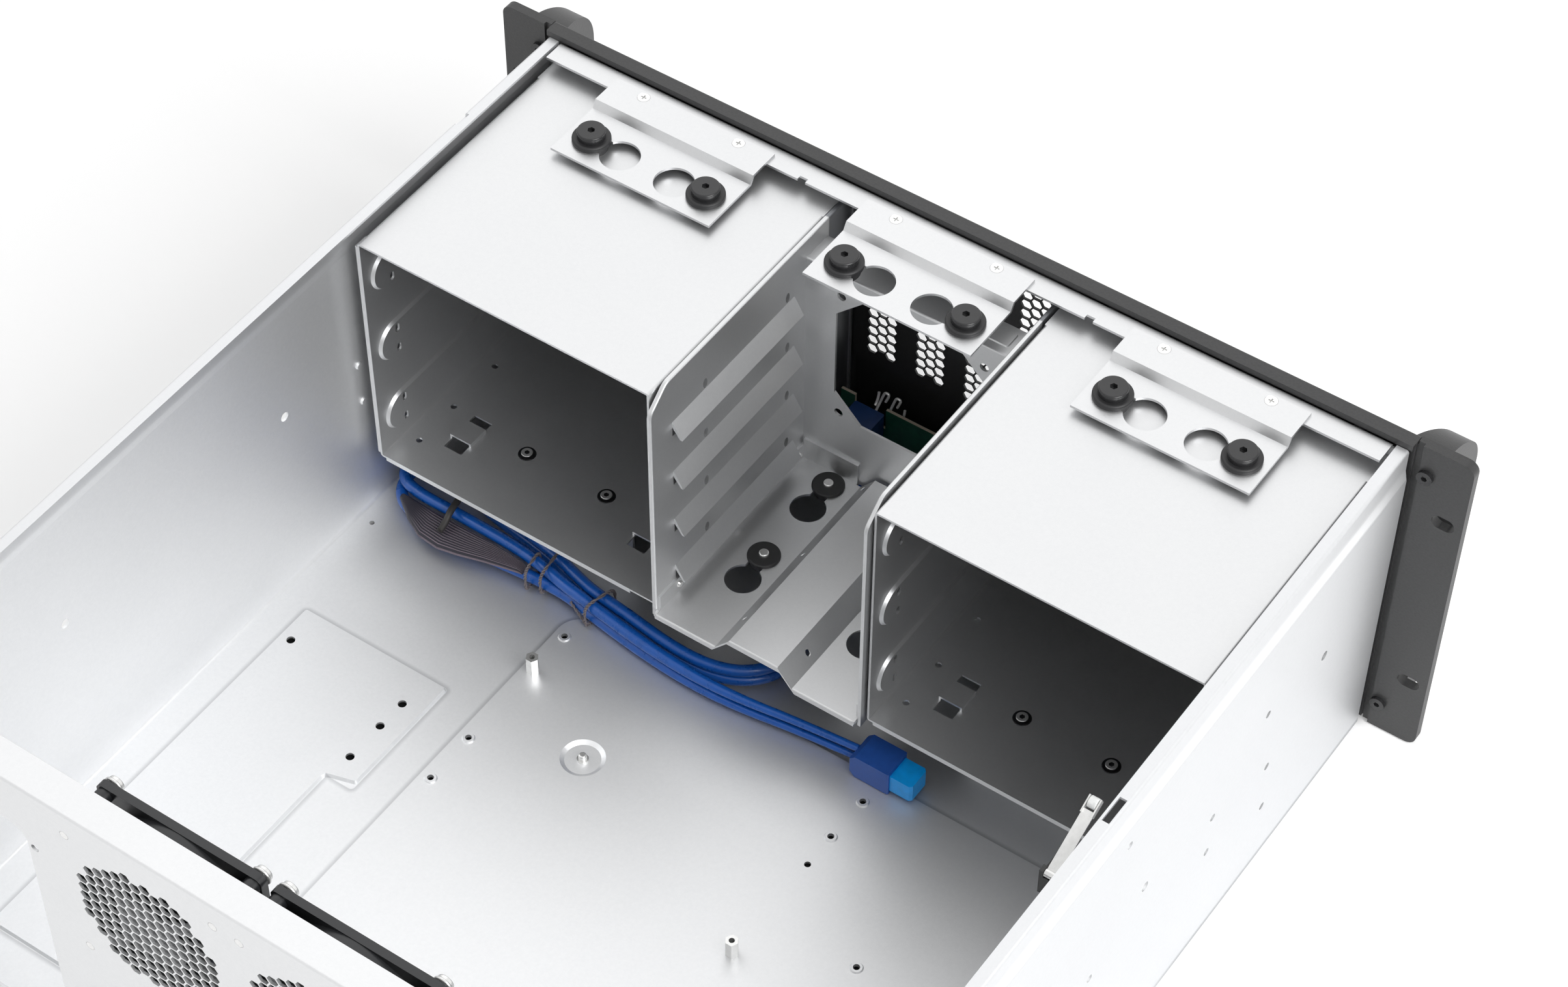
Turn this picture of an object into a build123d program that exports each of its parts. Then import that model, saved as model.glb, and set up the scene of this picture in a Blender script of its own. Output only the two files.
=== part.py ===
"""Open four-unit rackmount case, with its drive cages, centre bay, fans and front cables.

Millimetres. X runs across the case, Y from the front to the rear, Z up.
The origin is under the middle of the case with its handles, at the height of its underside.
"""

from build123d import *
from math import cos, hypot, radians, sin, tan
import os

# Body
body_width = 430.0
body_depth = 450.0
body_height = 175.0
sheet = 1.2
lid_step = 1.2
lid_step_low = 158.0
lid_step_high = 163.5
side_flange = 6.9
pan_setback = 7.5
fold_radius = 1.4

handle_depth = 32.0

front_y = -(body_depth - handle_depth) / 2
rear_y = front_y + body_depth
half_width = body_width / 2
wall_inner_x = half_width - sheet
band_inner_x = wall_inner_x - lid_step
flange_edge_x = half_width - side_flange
pan_front_y = front_y + pan_setback
pan_rear_y = rear_y - sheet

# Floor pressings
field_rise = 1.5
field_front = 152.0
field_rear_gap = 24.0
field_left_x = 100.0
field_right_x = -197.0
field_corner = 12.0
pad_rise = 1.8
pad_front = 219.0
pad_step = 285.0
pad_outer_x = 198.0
pad_wide_x = 118.0
pad_narrow_x = 132.0
pad_corner = 6.0
dish_x = 47.2
dish_back = 216.2
dish_radius = 10.0
dish_depth = 1.2
boss_radius = 3.0
boss_rise = 0.7
thread_radius = 1.5

# Motherboard
board_edge_gap = 22.5
board_columns = (93.8, -63.7, -188.2)
board_rows = (10.16, 165.1, 237.49)
standoff_across = 5.2
standoff_height = 9.3
stud_radius = 1.9
stud_height = 3.4

# Front frame and front panel
frame_flange_depth = 11.3
frame_flange_half = 206.5
panel_bottom = 1.0
panel_height = 177.0
panel_sheet = 1.5
panel_lip = 5.5
panel_spacer_radius = 2.4
panel_spacer_xs = (190.0, 75.0, -75.0, -190.0)
panel_spacer_zs = (18.0, 171.3)
ear_reach = 26.3
ear_thickness = 4.5
ear_tongue_gap = 0.4
ear_groove_width = 3.2
ear_groove_depth = 1.5
ear_corner = 5.0
rack_hole_x = 232.55
rack_hole_half_pitch = 50.8
rack_hole_radius = 3.4
rack_hole_slot = 3.6

panel_top = panel_bottom + panel_height
panel_middle = panel_bottom + panel_height / 2
ear_outer_x = half_width + ear_reach

# Handles
handle_inner_x = 211.0
handle_width = 17.0
handle_grip_width = 8.5
handle_margin = 4.0
handle_shoulder = 30.0
handle_thickness = 10.0
handle_foot = 22.0
handle_screw_x = 221.5
handle_screw_inset = 12.0
handle_screw_radius = 2.0
handle_head_radius = 3.5
handle_head_height = 1.8

# Drive cages
cage_x = 130.65
cage_inner_width = 149.1
cage_floor_top = 37.5
cage_inner_height = 130.1
cage_sheet = 1.0
cage_top_front = 26.0
cage_rear = 151.4
cage_lip = 1.6
cage_lip_gap = 12.4
hem_depth = 7.0
hem_thickness = 1.2
rail_count = 3
rail_first = 45.0
rail_pitch = 43.6
rail_height = 21.5
rail_front = 38.0
rail_rear = 146.5
rail_rise = 1.4
drive_slot_backs = (134.5, 55.25)
drive_slot_rise = 11.9
drive_slot_width = 2.6
drive_slot_height = 4.6
cage_hole_inset = 8.0
cage_hole_backs = (135.0, 110.0, 79.5)
cage_hole_radius = 1.5
bridge_inset = 24.0
bridge_width = 9.6
bridge_window = 22.8
bridge_back = 120.1
bridge_strap = 11.0
bridge_rise = 2.2
cage_screw_half_pitch = 22.0
cage_screw_back = 114.0
cage_screw_dish = 4.2
cage_screw_radius = 1.6
cage_screw_head = 2.8
cage_screw_head_height = 1.2
cage_screw_length = 6.0

cage_half = cage_inner_width / 2
cage_inner_top = cage_floor_top + cage_inner_height
cage_top = cage_inner_top + cage_sheet
cage_bottom = cage_floor_top - cage_sheet
cage_outer_half = cage_half + cage_sheet

# Cage supports on the floor
support_width = 84.0
support_front = 88.0
support_rear = 122.0
support_foot = 9.0

# Bay covers
bay_count = 3
bay_gap = 0.5
cover_thickness = 2.5
cover_flange = 9.0

# Keyhole brackets
bracket_positions = (130.65, 0.0, -130.65)
bracket_names = ("left", "centre", "right")
bracket_width = 83.0
bracket_front = 12.8
bracket_step_back = 29.0
bracket_rear = 61.5
bracket_drop = 3.7
bracket_screw_half = 25.0
bracket_screw_back = 16.3
bracket_screw_radius = 1.5
bracket_head_radius = 2.9
grommet_half_pitch = 30.0
grommet_back = 47.5
keyhole_offset = 15.8
keyhole_drop = 1.0
keyhole_radius = 9.0
grommet_neck = 5.4
grommet_radius = 8.6
grommet_upper = 2.4
grommet_foot_radius = 7.2
grommet_bore = 2.6
shoulder_head_radius = 6.3
shoulder_head_height = 3.4
shoulder_socket = 3.0
shoulder_reach = 5.0

bracket_top = body_height + sheet
lower_plate_top = bracket_top - bracket_drop
lower_plate_bottom = lower_plate_top - sheet

# Centre bay between the cages
bay_half = 52.0
side_plate = 2.0
side_plate_top = 170.0
side_plate_bottom = 34.0
side_plate_rear = 154.6
side_plate_corner = (11.5, 10.0)
side_plate_round = 6.0
ledge_count = 4
ledge_first = 45.5
ledge_pitch = 30.0
ledge_height = 8.5
ledge_reach = 5.0
ledge_sheet = 1.2
ledge_front = 51.5
ledge_rear = 140.0
ledge_slot_rise = 8.6
ledge_slot_backs = (116.5, 56.5)
ledge_slot_width = 3.0
ledge_slot_height = 5.4
tray_top = 37.0
tray_rise = 9.0
tray_flat_half = 13.0
tray_slope_half = 20.5
tray_rear = 156.5
tray_flange = 8.5
tray_lip = 2.6
tray_tab_height = 12.0
tray_tab_half_gap = 22.0
tray_hat_gap = 1.5
tray_key_x = 32.0
tray_key_backs = (52.3, 102.2)
tray_key_slide = 16.0
tray_key_radius = 8.2
tray_grommet_radius = 7.5
tray_grommet_neck = 4.4
tray_grommet_lift = 1.5
tray_grommet_foot = 6.4
tray_stud_radius = 2.3
tray_stud_lift = 1.2
rivet_backs = (48.0, 95.0, 139.0)
rivet_radius = 1.7
rivet_lift = 0.9
fan_plate_back = 43.0
fan_plate_top = 160.0
fan_plate_flange = 15.0
fan_window_x = -2.0
fan_window_z = 111.4
fan_window_half = 38.3
fan_window_corner = 14.0
fan_hole_radius = 2.2
fan_tab_size = (10.5, 9.0)
fan_tab_x = -40.5
fan_tab_rise = 0.6

# Fans
fan_size = 80.0
fan_depth = 25.4
fan_hole_half = 35.75
fan_bore_radius = 38.2
fan_flange = 3.6
fan_duct_radius = 39.6
fan_hub_radius = 17.0
fan_blade_count = 7
fan_blade_radius = 36.6
fan_blade_thickness = 1.6
fan_blade_sweep = 34.0
fan_rotor_gap = 1.6
fan_strut_width = 5.0
fan_strut_depth = 4.0
fan_corner_screw_radius = 2.0
fan_corner_head_radius = 3.6
fan_corner_head_height = 1.6
fan_z = 126.0
fan_xs = (69.3, -14.7)
fan_names = ("left", "right")
guard_wire = 1.5
guard_rings = (35.5, 26.0, 16.5)
guard_gap = 0.6

# Vent sheet behind the front panel
vent_back = 5.0
vent_sheet_thickness = 1.0
vent_half = 51.0
vent_bend = 72.0
vent_ledge = 2.9
hex_pitch = 5.5
hex_column = 4.8
hex_across = 4.8
vent_strip_xs = (36.15, 10.95, -14.25, -39.45)
vent_strip_bottom = 80.0
vent_strip_rows = 15
vent_top = 168.0

# Port board, ports and buttons
port_board_back = 14.0
port_board_thickness = 1.6
port_board_top = 57.0
port_board_bottom = 14.0
port_board_half = 50.5
port_notch = (26.5, 43.0)
port_notch_depth = 12.0
port_xs = (6.0, -10.0)
port_z = 24.0
port_width = 13.1
port_height = 5.7
header_size = (15.6, 15.0, 17.0)
header_x = 34.75
header_bottom = 37.0
button_z = 28.0
power_x = -36.0
power_radius = 7.0
reset_x = 31.0
reset_radius = 2.6
button_clearance = 0.4
button_depth = 3.6
button_proud = 1.4
button_travel_room = 1.6

# Rear wall
rear_flange = 15.0
rear_side_gap = 0.4
recess_depth = 19.2
recess_sheet = sheet
port_window = (158.75, 44.45)
port_window_x = 22.0
port_window_z = 33.6
port_recess_top = 62.0
slot_recess_top = 118.0
recess_left_x = 105.0
recess_middle_x = -65.5
recess_right_x = -209.0
recess_bottom = 4.0
slot_count = 7
slot_pitch = 20.32
slot_first_x = -76.0
slot_width = 13.0
slot_bottom = 14.0
slot_top = 108.0
cover_width = 18.4
cover_sheet = 0.9
cover_tab = 11.4
slot_screw_radius = 1.6
slot_screw_head = 3.4
supply_x = 164.0
supply_opening = (74.0, 138.0)
supply_corner = 8.0
supply_hole_half = (32.0, 69.0)
supply_z = 79.0
grille_radius = 36.5

# Cover switch
switch_x = -203.0
switch_back = 247.5
switch_size = (9.0, 19.8, 10.2)
switch_bottom = 149.6
switch_pin_radius = 0.8
lever_bore_radius = 0.9
lever_eye_radius = 1.6
lever_width = 5.0
lever_thickness = 0.6
lever_length = 31.0
lever_angle = 27.0
lever_start = 1.4
roller_radius = 2.4
roller_width = 3.6
roller_bore = 0.9
switch_holder = 1.0

# Cables
cable_radius = 2.8
cable_stack = 6.1
lead_radius = 1.6
ribbon_thickness = 4.0
tie_width = 2.4
tie_thickness = 0.9
tie_base = 0.6


def back(distance):
    """Y of a plane this far behind the front face."""
    return front_y + distance


def ahead(distance):
    """Y of a plane this far in front of the rear face."""
    return rear_y - distance


def across(y):
    """Upright plane at Y = y, its normal to the front, X and Z as its axes."""
    return Plane.XZ.offset(-y)


def along(x):
    """Upright plane at X = x, its normal to +X, Y and Z as its axes."""
    return Plane.YZ.offset(x)


def level(z):
    """Flat plane at height z."""
    return Plane.XY.offset(z)


def discs(plane, centres, radius):
    """Equal discs on a plane."""
    with BuildSketch(plane) as sketch:
        with Locations(*centres):
            Circle(radius)
    return sketch.sketch


def slab(x_range, y_range, z_range):
    """Box between two values on each axis."""
    size = (x_range[1] - x_range[0], y_range[1] - y_range[0], z_range[1] - z_range[0])
    place = Pos(x_range[0], y_range[0], z_range[0])
    return place * Box(*size, align=(Align.MIN, Align.MIN, Align.MIN), mode=Mode.PRIVATE)


def ring(plane, centres, outer, inner, height):
    """Equal upright tubes standing on a plane."""
    with BuildPart() as tube:
        with BuildSketch(plane):
            with Locations(*centres):
                Circle(outer)
                Circle(inner, mode=Mode.SUBTRACT)
        extrude(amount=height)
    return tube.part


def keep(part, name):
    """Label a finished piece and write it."""
    part.label = name
    export_step(part, f"parts/{name}.step")


def hexagon_points(columns, rows, bottom, centre_x):
    """Centres of a hexagonal field, every other column half a pitch higher."""
    points = []
    for column in range(columns):
        x = centre_x + (column - (columns - 1) / 2) * hex_column
        for row in range(rows):
            points.append((x, bottom + (row + 0.5 * (column % 2)) * hex_pitch))
    return points


os.makedirs("parts", exist_ok=True)


# Chassis pan: floor, side walls and their folded top flanges from one sheet

def pan_section(inset, top):
    """Corner points of the pan's cross section, inset from its outer face."""
    low_x = half_width - inset
    high_x = half_width - lid_step - inset
    return [
        (-low_x, inset),
        (low_x, inset),
        (low_x, lid_step_low),
        (high_x, lid_step_high),
        (high_x, top),
        (-high_x, top),
        (-high_x, lid_step_high),
        (-low_x, lid_step_low),
    ]


board_rear = rear_y - board_edge_gap
board_holes = [(x, board_rear - row) for x in board_columns for row in board_rows]
standoff_holes = [(board_columns[0], board_rear - board_rows[2]), (board_columns[1], board_rear - board_rows[1])]
extra_holes = [(93.8, back(167.0)), (93.8, back(236.0)), (-64.5, back(167.0)), (-109.8, back(239.0))]
boss_holes = [hole for hole in board_holes if hole not in standoff_holes] + extra_holes
plain_holes = [(-63.7, back(207.3))]
pad_holes = [(191.3, back(237.7)), (128.8, back(237.7)), (129.1, back(252.7)), (129.2, back(273.2))]
field_top = sheet + field_rise
field_rear_y = ahead(field_rear_gap)

left_wall_domes = [(back(151.0), 89.7), (back(150.6), 67.0)]
right_wall_holes = [
    (back(107.5), 111.0), (back(100.0), 69.0), (back(98.0), 40.0), (back(146.0), 85.0), (back(147.0), 63.0),
    (back(218.0), 147.0), (back(238.5), 83.5),
]
slide_holes = [(back(distance), 100.0) for distance in (60.0, 200.0, 340.0)]

with BuildPart() as pan:
    with BuildSketch(across(pan_rear_y)) as outer_section:
        Polygon(*pan_section(0, body_height), align=None)
        fillet(outer_section.vertices().group_by(Axis.Y)[0], fold_radius + sheet)
        fillet(outer_section.vertices().group_by(Axis.Y)[-1], fold_radius)
    extrude(amount=pan_rear_y - pan_front_y)
    with BuildSketch(across(pan_rear_y)) as inner_section:
        Polygon(*pan_section(sheet, body_height - sheet), align=None)
        fillet(inner_section.vertices().group_by(Axis.Y)[0], fold_radius)
    extrude(amount=pan_rear_y - pan_front_y, mode=Mode.SUBTRACT)
    with BuildSketch(level(body_height - 2 * sheet)):
        with Locations((0, (pan_front_y + pan_rear_y) / 2)):
            Rectangle(2 * flange_edge_x, body_depth)
    extrude(amount=3 * sheet, mode=Mode.SUBTRACT)

    # Motherboard field and power supply pad, pressed up from the floor
    field_centre = ((field_left_x + field_right_x) / 2, (back(field_front) + field_rear_y) / 2)
    field_size = (field_left_x - field_right_x, field_rear_y - back(field_front))
    pad_outline = [
        (pad_outer_x, back(pad_front)),
        (pad_outer_x, field_rear_y),
        (pad_narrow_x, field_rear_y),
        (pad_narrow_x, back(pad_step) + 2),
        (pad_wide_x, back(pad_step) - 2),
        (pad_wide_x, back(pad_front)),
    ]
    with BuildSketch(level(0)) as raised:
        with Locations(field_centre):
            RectangleRounded(*field_size, field_corner)
    extrude(amount=field_top, taper=20)
    with BuildSketch(level(0)) as pad_raised:
        Polygon(*pad_outline, align=None)
        fillet(pad_raised.vertices(), pad_corner / 3)
    extrude(amount=sheet + pad_rise, taper=20)
    with BuildSketch(level(0)):
        with Locations(field_centre):
            RectangleRounded(field_size[0] - 2 * sheet, field_size[1] - 2 * sheet, field_corner - sheet)
    extrude(amount=field_rise, taper=20, mode=Mode.SUBTRACT)
    with BuildSketch(level(0)) as pad_hollow:
        Polygon(*pad_outline, align=None)
        fillet(pad_hollow.vertices(), pad_corner / 3)
        offset(amount=-sheet)
    extrude(amount=pad_rise, taper=20, mode=Mode.SUBTRACT)

    # Round dish in the field, and the screw bosses
    with Locations((dish_x, back(dish_back), field_rise - dish_depth)):
        Cone(dish_radius - 1.0, dish_radius + 1.2, field_rise, align=(Align.CENTER, Align.CENTER, Align.MIN))
    with Locations((dish_x, back(dish_back), field_top - dish_depth)):
        Cone(dish_radius - 2.0, dish_radius, dish_depth, align=(Align.CENTER, Align.CENTER, Align.MIN),
             mode=Mode.SUBTRACT)
    with BuildSketch(level(field_top)):
        with Locations(*boss_holes):
            Circle(boss_radius)
    extrude(amount=boss_rise, taper=35)
    extrude(discs(level(-1), boss_holes + plain_holes, thread_radius), amount=6, mode=Mode.SUBTRACT)
    extrude(discs(level(-1), pad_holes, 2.0), amount=6, mode=Mode.SUBTRACT)
    extrude(discs(level(-1), standoff_holes, thread_radius), amount=6, mode=Mode.SUBTRACT)
    extrude(discs(level(-1), [(dish_x, back(dish_back))], stud_radius), amount=6, mode=Mode.SUBTRACT)
    extrude(discs(level(-1), [(206.0, back(162.5))], 1.2), amount=4, mode=Mode.SUBTRACT)

    # Side walls: domes on the left, holes on the right, slide rail holes on both
    with BuildSketch(along(wall_inner_x - 0.9)):
        with Locations(*left_wall_domes):
            Circle(1.6)
    extrude(amount=1.0, taper=-20)
    extrude(discs(along(-half_width - 1), right_wall_holes, 1.8), amount=3, mode=Mode.SUBTRACT)
    extrude(discs(along(-half_width - 1), slide_holes, 2.3), amount=3, mode=Mode.SUBTRACT)
    extrude(discs(along(wall_inner_x - 1), slide_holes, 2.3), amount=3, mode=Mode.SUBTRACT)

    # Notch in the left flange, switch window in the right one
    add(slab((half_width - 3.4, half_width + 1), (back(67), back(75)), (body_height - 2.2, body_height + 1)),
        mode=Mode.SUBTRACT)
    add(slab((-half_width + 2.6, -flange_edge_x - 1.1), (back(220), back(233)),
             (body_height - 3, body_height + 1)), mode=Mode.SUBTRACT)
keep(pan.part, "chassis_pan")


# Standoffs screwed into the field, and the stud in the dish

with BuildPart() as standoffs:
    with BuildSketch(level(field_top)):
        with Locations(*standoff_holes):
            RegularPolygon(standoff_across / 2, 6, major_radius=False)
            Circle(thread_radius - 0.2, mode=Mode.SUBTRACT)
    extrude(amount=standoff_height)
    add(ring(level(field_rise), standoff_holes, thread_radius - 0.1, thread_radius - 0.6, field_top - field_rise))
keep(standoffs.part, "standoffs")

with BuildPart() as stud:
    with BuildSketch(level(field_rise - dish_depth)):
        with Locations((dish_x, back(dish_back))):
            Circle(stud_radius - 0.1)
    extrude(amount=sheet)
    with BuildSketch(level(field_top - dish_depth)):
        with Locations((dish_x, back(dish_back))):
            Circle(stud_radius + 0.7)
    extrude(amount=0.9)
    with BuildSketch(level(field_top - dish_depth + 0.9)):
        with Locations((dish_x, back(dish_back))):
            Circle(stud_radius)
    extrude(amount=stud_height - 0.9)
    fillet(stud.edges().group_by(Axis.Z)[-1], 0.9)
keep(stud.part, "locating_stud")


# Front frame: upright sheet with the cage openings and a folded top flange

frame_front_y = pan_front_y
frame_rear_y = pan_front_y + sheet
with BuildPart() as frame:
    add(slab((-band_inner_x, band_inner_x), (frame_front_y, frame_rear_y), (sheet, body_height - sheet - 0.3)))
    add(slab((-frame_flange_half, frame_flange_half), (frame_front_y, frame_front_y + frame_flange_depth),
             (body_height - sheet, body_height)))
    add(slab((-frame_flange_half, frame_flange_half), (frame_front_y, frame_rear_y),
             (body_height - 3 * sheet, body_height)))
    fillet(frame.edges().filter_by(Axis.X).filter_by_position(Axis.Y, frame_front_y - 0.01, frame_front_y + 0.01)
           .group_by(Axis.Z)[-1], sheet - 0.1)
    for cage_centre in (-cage_x, cage_x):
        add(slab((cage_centre - cage_half, cage_centre + cage_half), (frame_front_y - 1, frame_rear_y + 1),
                 (cage_floor_top, cage_inner_top)), mode=Mode.SUBTRACT)
    add(slab((-vent_half, vent_half), (frame_front_y - 1, frame_rear_y + 1), (12.0, 166.0)), mode=Mode.SUBTRACT)
    for notch_x in (71.4, -71.3):
        add(slab((notch_x - 2, notch_x + 2), (frame_front_y + frame_flange_depth - 2.2, back(30)),
                 (body_height - 3, body_height + 1)), mode=Mode.SUBTRACT)
    bracket_screw_spots = [(x + side * bracket_screw_half, back(bracket_screw_back))
                           for x in bracket_positions for side in (-1, 1)]
    extrude(discs(level(body_height - 3), bracket_screw_spots, bracket_screw_radius + 0.1), amount=4,
            mode=Mode.SUBTRACT)
keep(frame.part, "front_frame")


# Black front panel with its folded lip, bay openings, vent window, ports and buttons

button_spots = [(power_x, power_radius), (reset_x, reset_radius)]
bay_pitch = cage_inner_height / bay_count
with BuildPart() as panel:
    add(slab((-half_width, half_width), (front_y, front_y + panel_sheet), (panel_bottom, panel_top)))
    add(slab((-half_width, half_width), (front_y, front_y + panel_lip), (panel_top - panel_sheet, panel_top)))
    fillet(panel.edges().filter_by(Axis.X).group_by(Axis.Z)[-1].group_by(Axis.Y)[0], 1.3)
    for cage_centre in (-cage_x, cage_x):
        add(slab((cage_centre - cage_half, cage_centre + cage_half), (front_y - 1, front_y + panel_sheet + 0.5),
                 (cage_floor_top, cage_inner_top)), mode=Mode.SUBTRACT)
    add(slab((-vent_half + 2, vent_half - 2), (front_y - 1, front_y + panel_sheet + 0.5), (66.0, 166.0)),
        mode=Mode.SUBTRACT)
    spacer_spots = [(x, z) for x in panel_spacer_xs for z in panel_spacer_zs]
    extrude(discs(across(frame_front_y), spacer_spots, panel_spacer_radius), amount=frame_front_y - front_y - panel_sheet)
    for spot_x, spot_radius in button_spots:
        extrude(discs(across(front_y + 3), [(spot_x, button_z)], spot_radius + button_clearance), amount=5,
                mode=Mode.SUBTRACT)
    for port_x in port_xs:
        add(slab((port_x - port_width / 2 - 0.3, port_x + port_width / 2 + 0.3), (front_y - 1, front_y + 3),
                 (port_z - port_height / 2 - 0.3, port_z + port_height / 2 + 0.3)), mode=Mode.SUBTRACT)
    handle_screw_zs = (handle_margin + handle_screw_inset + panel_bottom,
                       panel_top - handle_margin - handle_screw_inset)
keep(panel.part, "front_panel")


# Rack ears behind the panel's ends, with their mounting slots

def rack_ear(side):
    """Ear on one side, a thick plate with a tongue behind the front panel."""
    with BuildPart() as ear:
        with BuildSketch(across(front_y + ear_thickness)) as outline:
            with Locations(((half_width + ear_outer_x) / 2 + 0.15, panel_middle)):
                Rectangle(ear_reach - 0.3, panel_height)
            fillet(outline.vertices().group_by(Axis.X)[-1], ear_corner)
        extrude(amount=ear_thickness)
        add(slab((cage_x + cage_half + ear_tongue_gap, half_width + 1),
                 (front_y + panel_sheet, front_y + ear_thickness),
                 (panel_bottom + 2, panel_top - panel_sheet - 0.3)))
        add(slab((half_width, half_width + ear_groove_width),
                 (front_y + ear_thickness - ear_groove_depth, front_y + ear_thickness + 1),
                 (panel_bottom - 1, panel_top + 1)), mode=Mode.SUBTRACT)
        with BuildSketch(across(front_y + ear_thickness + 1)):
            with Locations((rack_hole_x, panel_middle - rack_hole_half_pitch),
                           (rack_hole_x, panel_middle + rack_hole_half_pitch)):
                SlotCenterToCenter(rack_hole_slot, 2 * rack_hole_radius)
        extrude(amount=ear_thickness + 2, mode=Mode.SUBTRACT)
        extrude(discs(across(front_y + ear_thickness + 1), [(handle_screw_x, z) for z in handle_screw_zs],
                      handle_screw_radius + 0.1), amount=ear_thickness + 2, mode=Mode.SUBTRACT)
    return ear.part if side > 0 else ear.part.mirror(Plane.YZ)


keep(rack_ear(1), "rack_ear_left")
keep(rack_ear(-1), "rack_ear_right")


# Handles on the front of the ears, tapering towards the grip

def bow_handle(side):
    """Handle on one side: an arched bar on two feet."""
    low = panel_bottom + handle_margin
    high = panel_top - handle_margin
    depth_y = front_y - handle_depth
    with BuildPart() as handle:
        with BuildSketch(along(handle_inner_x)) as profile:
            with BuildLine():
                Polyline((front_y, low), (front_y, high))
                Spline((front_y, high), (depth_y, high - handle_shoulder),
                       tangents=[(-1, -0.12), (0, -1)], tangent_scalars=[1.0, 1.0])
                Line((depth_y, high - handle_shoulder), (depth_y, low + handle_shoulder))
                Spline((depth_y, low + handle_shoulder), (front_y, low),
                       tangents=[(0, -1), (1, -0.12)], tangent_scalars=[1.0, 1.0])
            make_face()
            with Locations(((front_y + depth_y + handle_thickness) / 2, panel_middle)):
                RectangleRounded(handle_depth - handle_thickness, high - low - 2 * handle_foot, 7.0,
                                 mode=Mode.SUBTRACT)
            with Locations((front_y - 4.5, panel_middle)):
                Rectangle(9, high - low - 2 * handle_foot, mode=Mode.SUBTRACT)
        extrude(amount=handle_width)
        with BuildSketch(level(0)):
            Polygon((handle_inner_x - 1, front_y - 2), (handle_inner_x, front_y - 2),
                    (handle_inner_x + handle_width - handle_grip_width, depth_y),
                    (handle_inner_x + handle_width - handle_grip_width, depth_y - 1),
                    (handle_inner_x - 1, depth_y - 1), align=None)
        extrude(amount=panel_top + 5, mode=Mode.SUBTRACT)
        for z in handle_screw_zs:
            with BuildSketch(across(front_y + 1)):
                with Locations((handle_screw_x, z)):
                    Circle(handle_screw_radius + 0.1)
            extrude(amount=11, mode=Mode.SUBTRACT)
    return handle.part if side > 0 else handle.part.mirror(Plane.YZ)


keep(bow_handle(1), "handle_left")
keep(bow_handle(-1), "handle_right")

with BuildPart() as handle_screws:
    head_plane = across(front_y + ear_thickness + handle_head_height)
    spots = [(side * handle_screw_x, z) for side in (-1, 1) for z in handle_screw_zs]
    with BuildSketch(head_plane):
        with Locations(*spots):
            Circle(handle_head_radius)
    extrude(amount=handle_head_height)
    with BuildSketch(head_plane):
        with Locations(*spots):
            Circle(handle_screw_radius)
    extrude(amount=handle_head_height + ear_thickness + 8)
    with BuildSketch(head_plane):
        with Locations(*spots):
            RegularPolygon(1.4, 6)
    extrude(amount=1.1, mode=Mode.SUBTRACT)
keep(handle_screws.part, "handle_screws")


# Vent sheet: strips of hexagonal holes above a forward step

with BuildPart() as vent:
    vent_rear_y = back(vent_back + vent_sheet_thickness)
    add(slab((-vent_half, vent_half), (back(vent_back), vent_rear_y), (vent_bend, vent_top)))
    add(slab((-vent_half, vent_half), (vent_rear_y - vent_sheet_thickness - vent_ledge, vent_rear_y),
             (vent_bend - vent_sheet_thickness, vent_bend)))
    add(slab((-vent_half, vent_half),
             (vent_rear_y - vent_sheet_thickness - vent_ledge, vent_rear_y - vent_ledge),
             (12.3, vent_bend)))
    for strip_x in vent_strip_xs:
        with BuildSketch(across(vent_rear_y + 1)):
            with Locations(*hexagon_points(3, vent_strip_rows, vent_strip_bottom, strip_x)):
                RegularPolygon(hex_across / 2, 6, major_radius=False, rotation=0)
        extrude(amount=vent_sheet_thickness + 2, mode=Mode.SUBTRACT)
    for spot_x, spot_radius in button_spots:
        extrude(discs(across(vent_rear_y), [(spot_x, button_z)], spot_radius + button_clearance),
                amount=2 * vent_ledge, mode=Mode.SUBTRACT)
    for port_x in port_xs:
        add(slab((port_x - port_width / 2 - 0.3, port_x + port_width / 2 + 0.3), (front_y - 1, vent_rear_y),
                 (port_z - port_height / 2 - 0.3, port_z + port_height / 2 + 0.3)), mode=Mode.SUBTRACT)
keep(vent.part, "vent_sheet")


# Port board behind the vent sheet, with its shells and the cable header

board_front_y = back(port_board_back)
board_back_y = board_front_y + port_board_thickness
with BuildPart() as port_board:
    with BuildSketch(across(board_back_y)):
        with BuildLine():
            Polyline((-port_board_half, port_board_bottom), (port_board_half, port_board_bottom),
                     (port_board_half, port_board_top), (port_notch[1], port_board_top),
                     (port_notch[1], port_board_top - port_notch_depth),
                     (port_notch[0], port_board_top - port_notch_depth), (port_notch[0], port_board_top),
                     (-port_board_half, port_board_top), close=True)
        make_face()
    extrude(amount=port_board_thickness)
keep(port_board.part, "port_board")

with BuildPart() as ports:
    for port_x in port_xs:
        add(slab((port_x - port_width / 2, port_x + port_width / 2), (front_y + 0.2, board_front_y),
                 (port_z - port_height / 2, port_z + port_height / 2)))
        add(slab((port_x - port_width / 2 + 0.5, port_x + port_width / 2 - 0.5), (front_y - 1, front_y + 11),
                 (port_z - port_height / 2 + 0.5, port_z + port_height / 2 - 0.5)), mode=Mode.SUBTRACT)
        add(slab((port_x - port_width / 2 + 1.5, port_x + port_width / 2 - 1.5), (front_y + 2, front_y + 11.5),
                 (port_z - 0.9, port_z + 0.9)))
keep(ports.part, "usb_ports")

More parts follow.
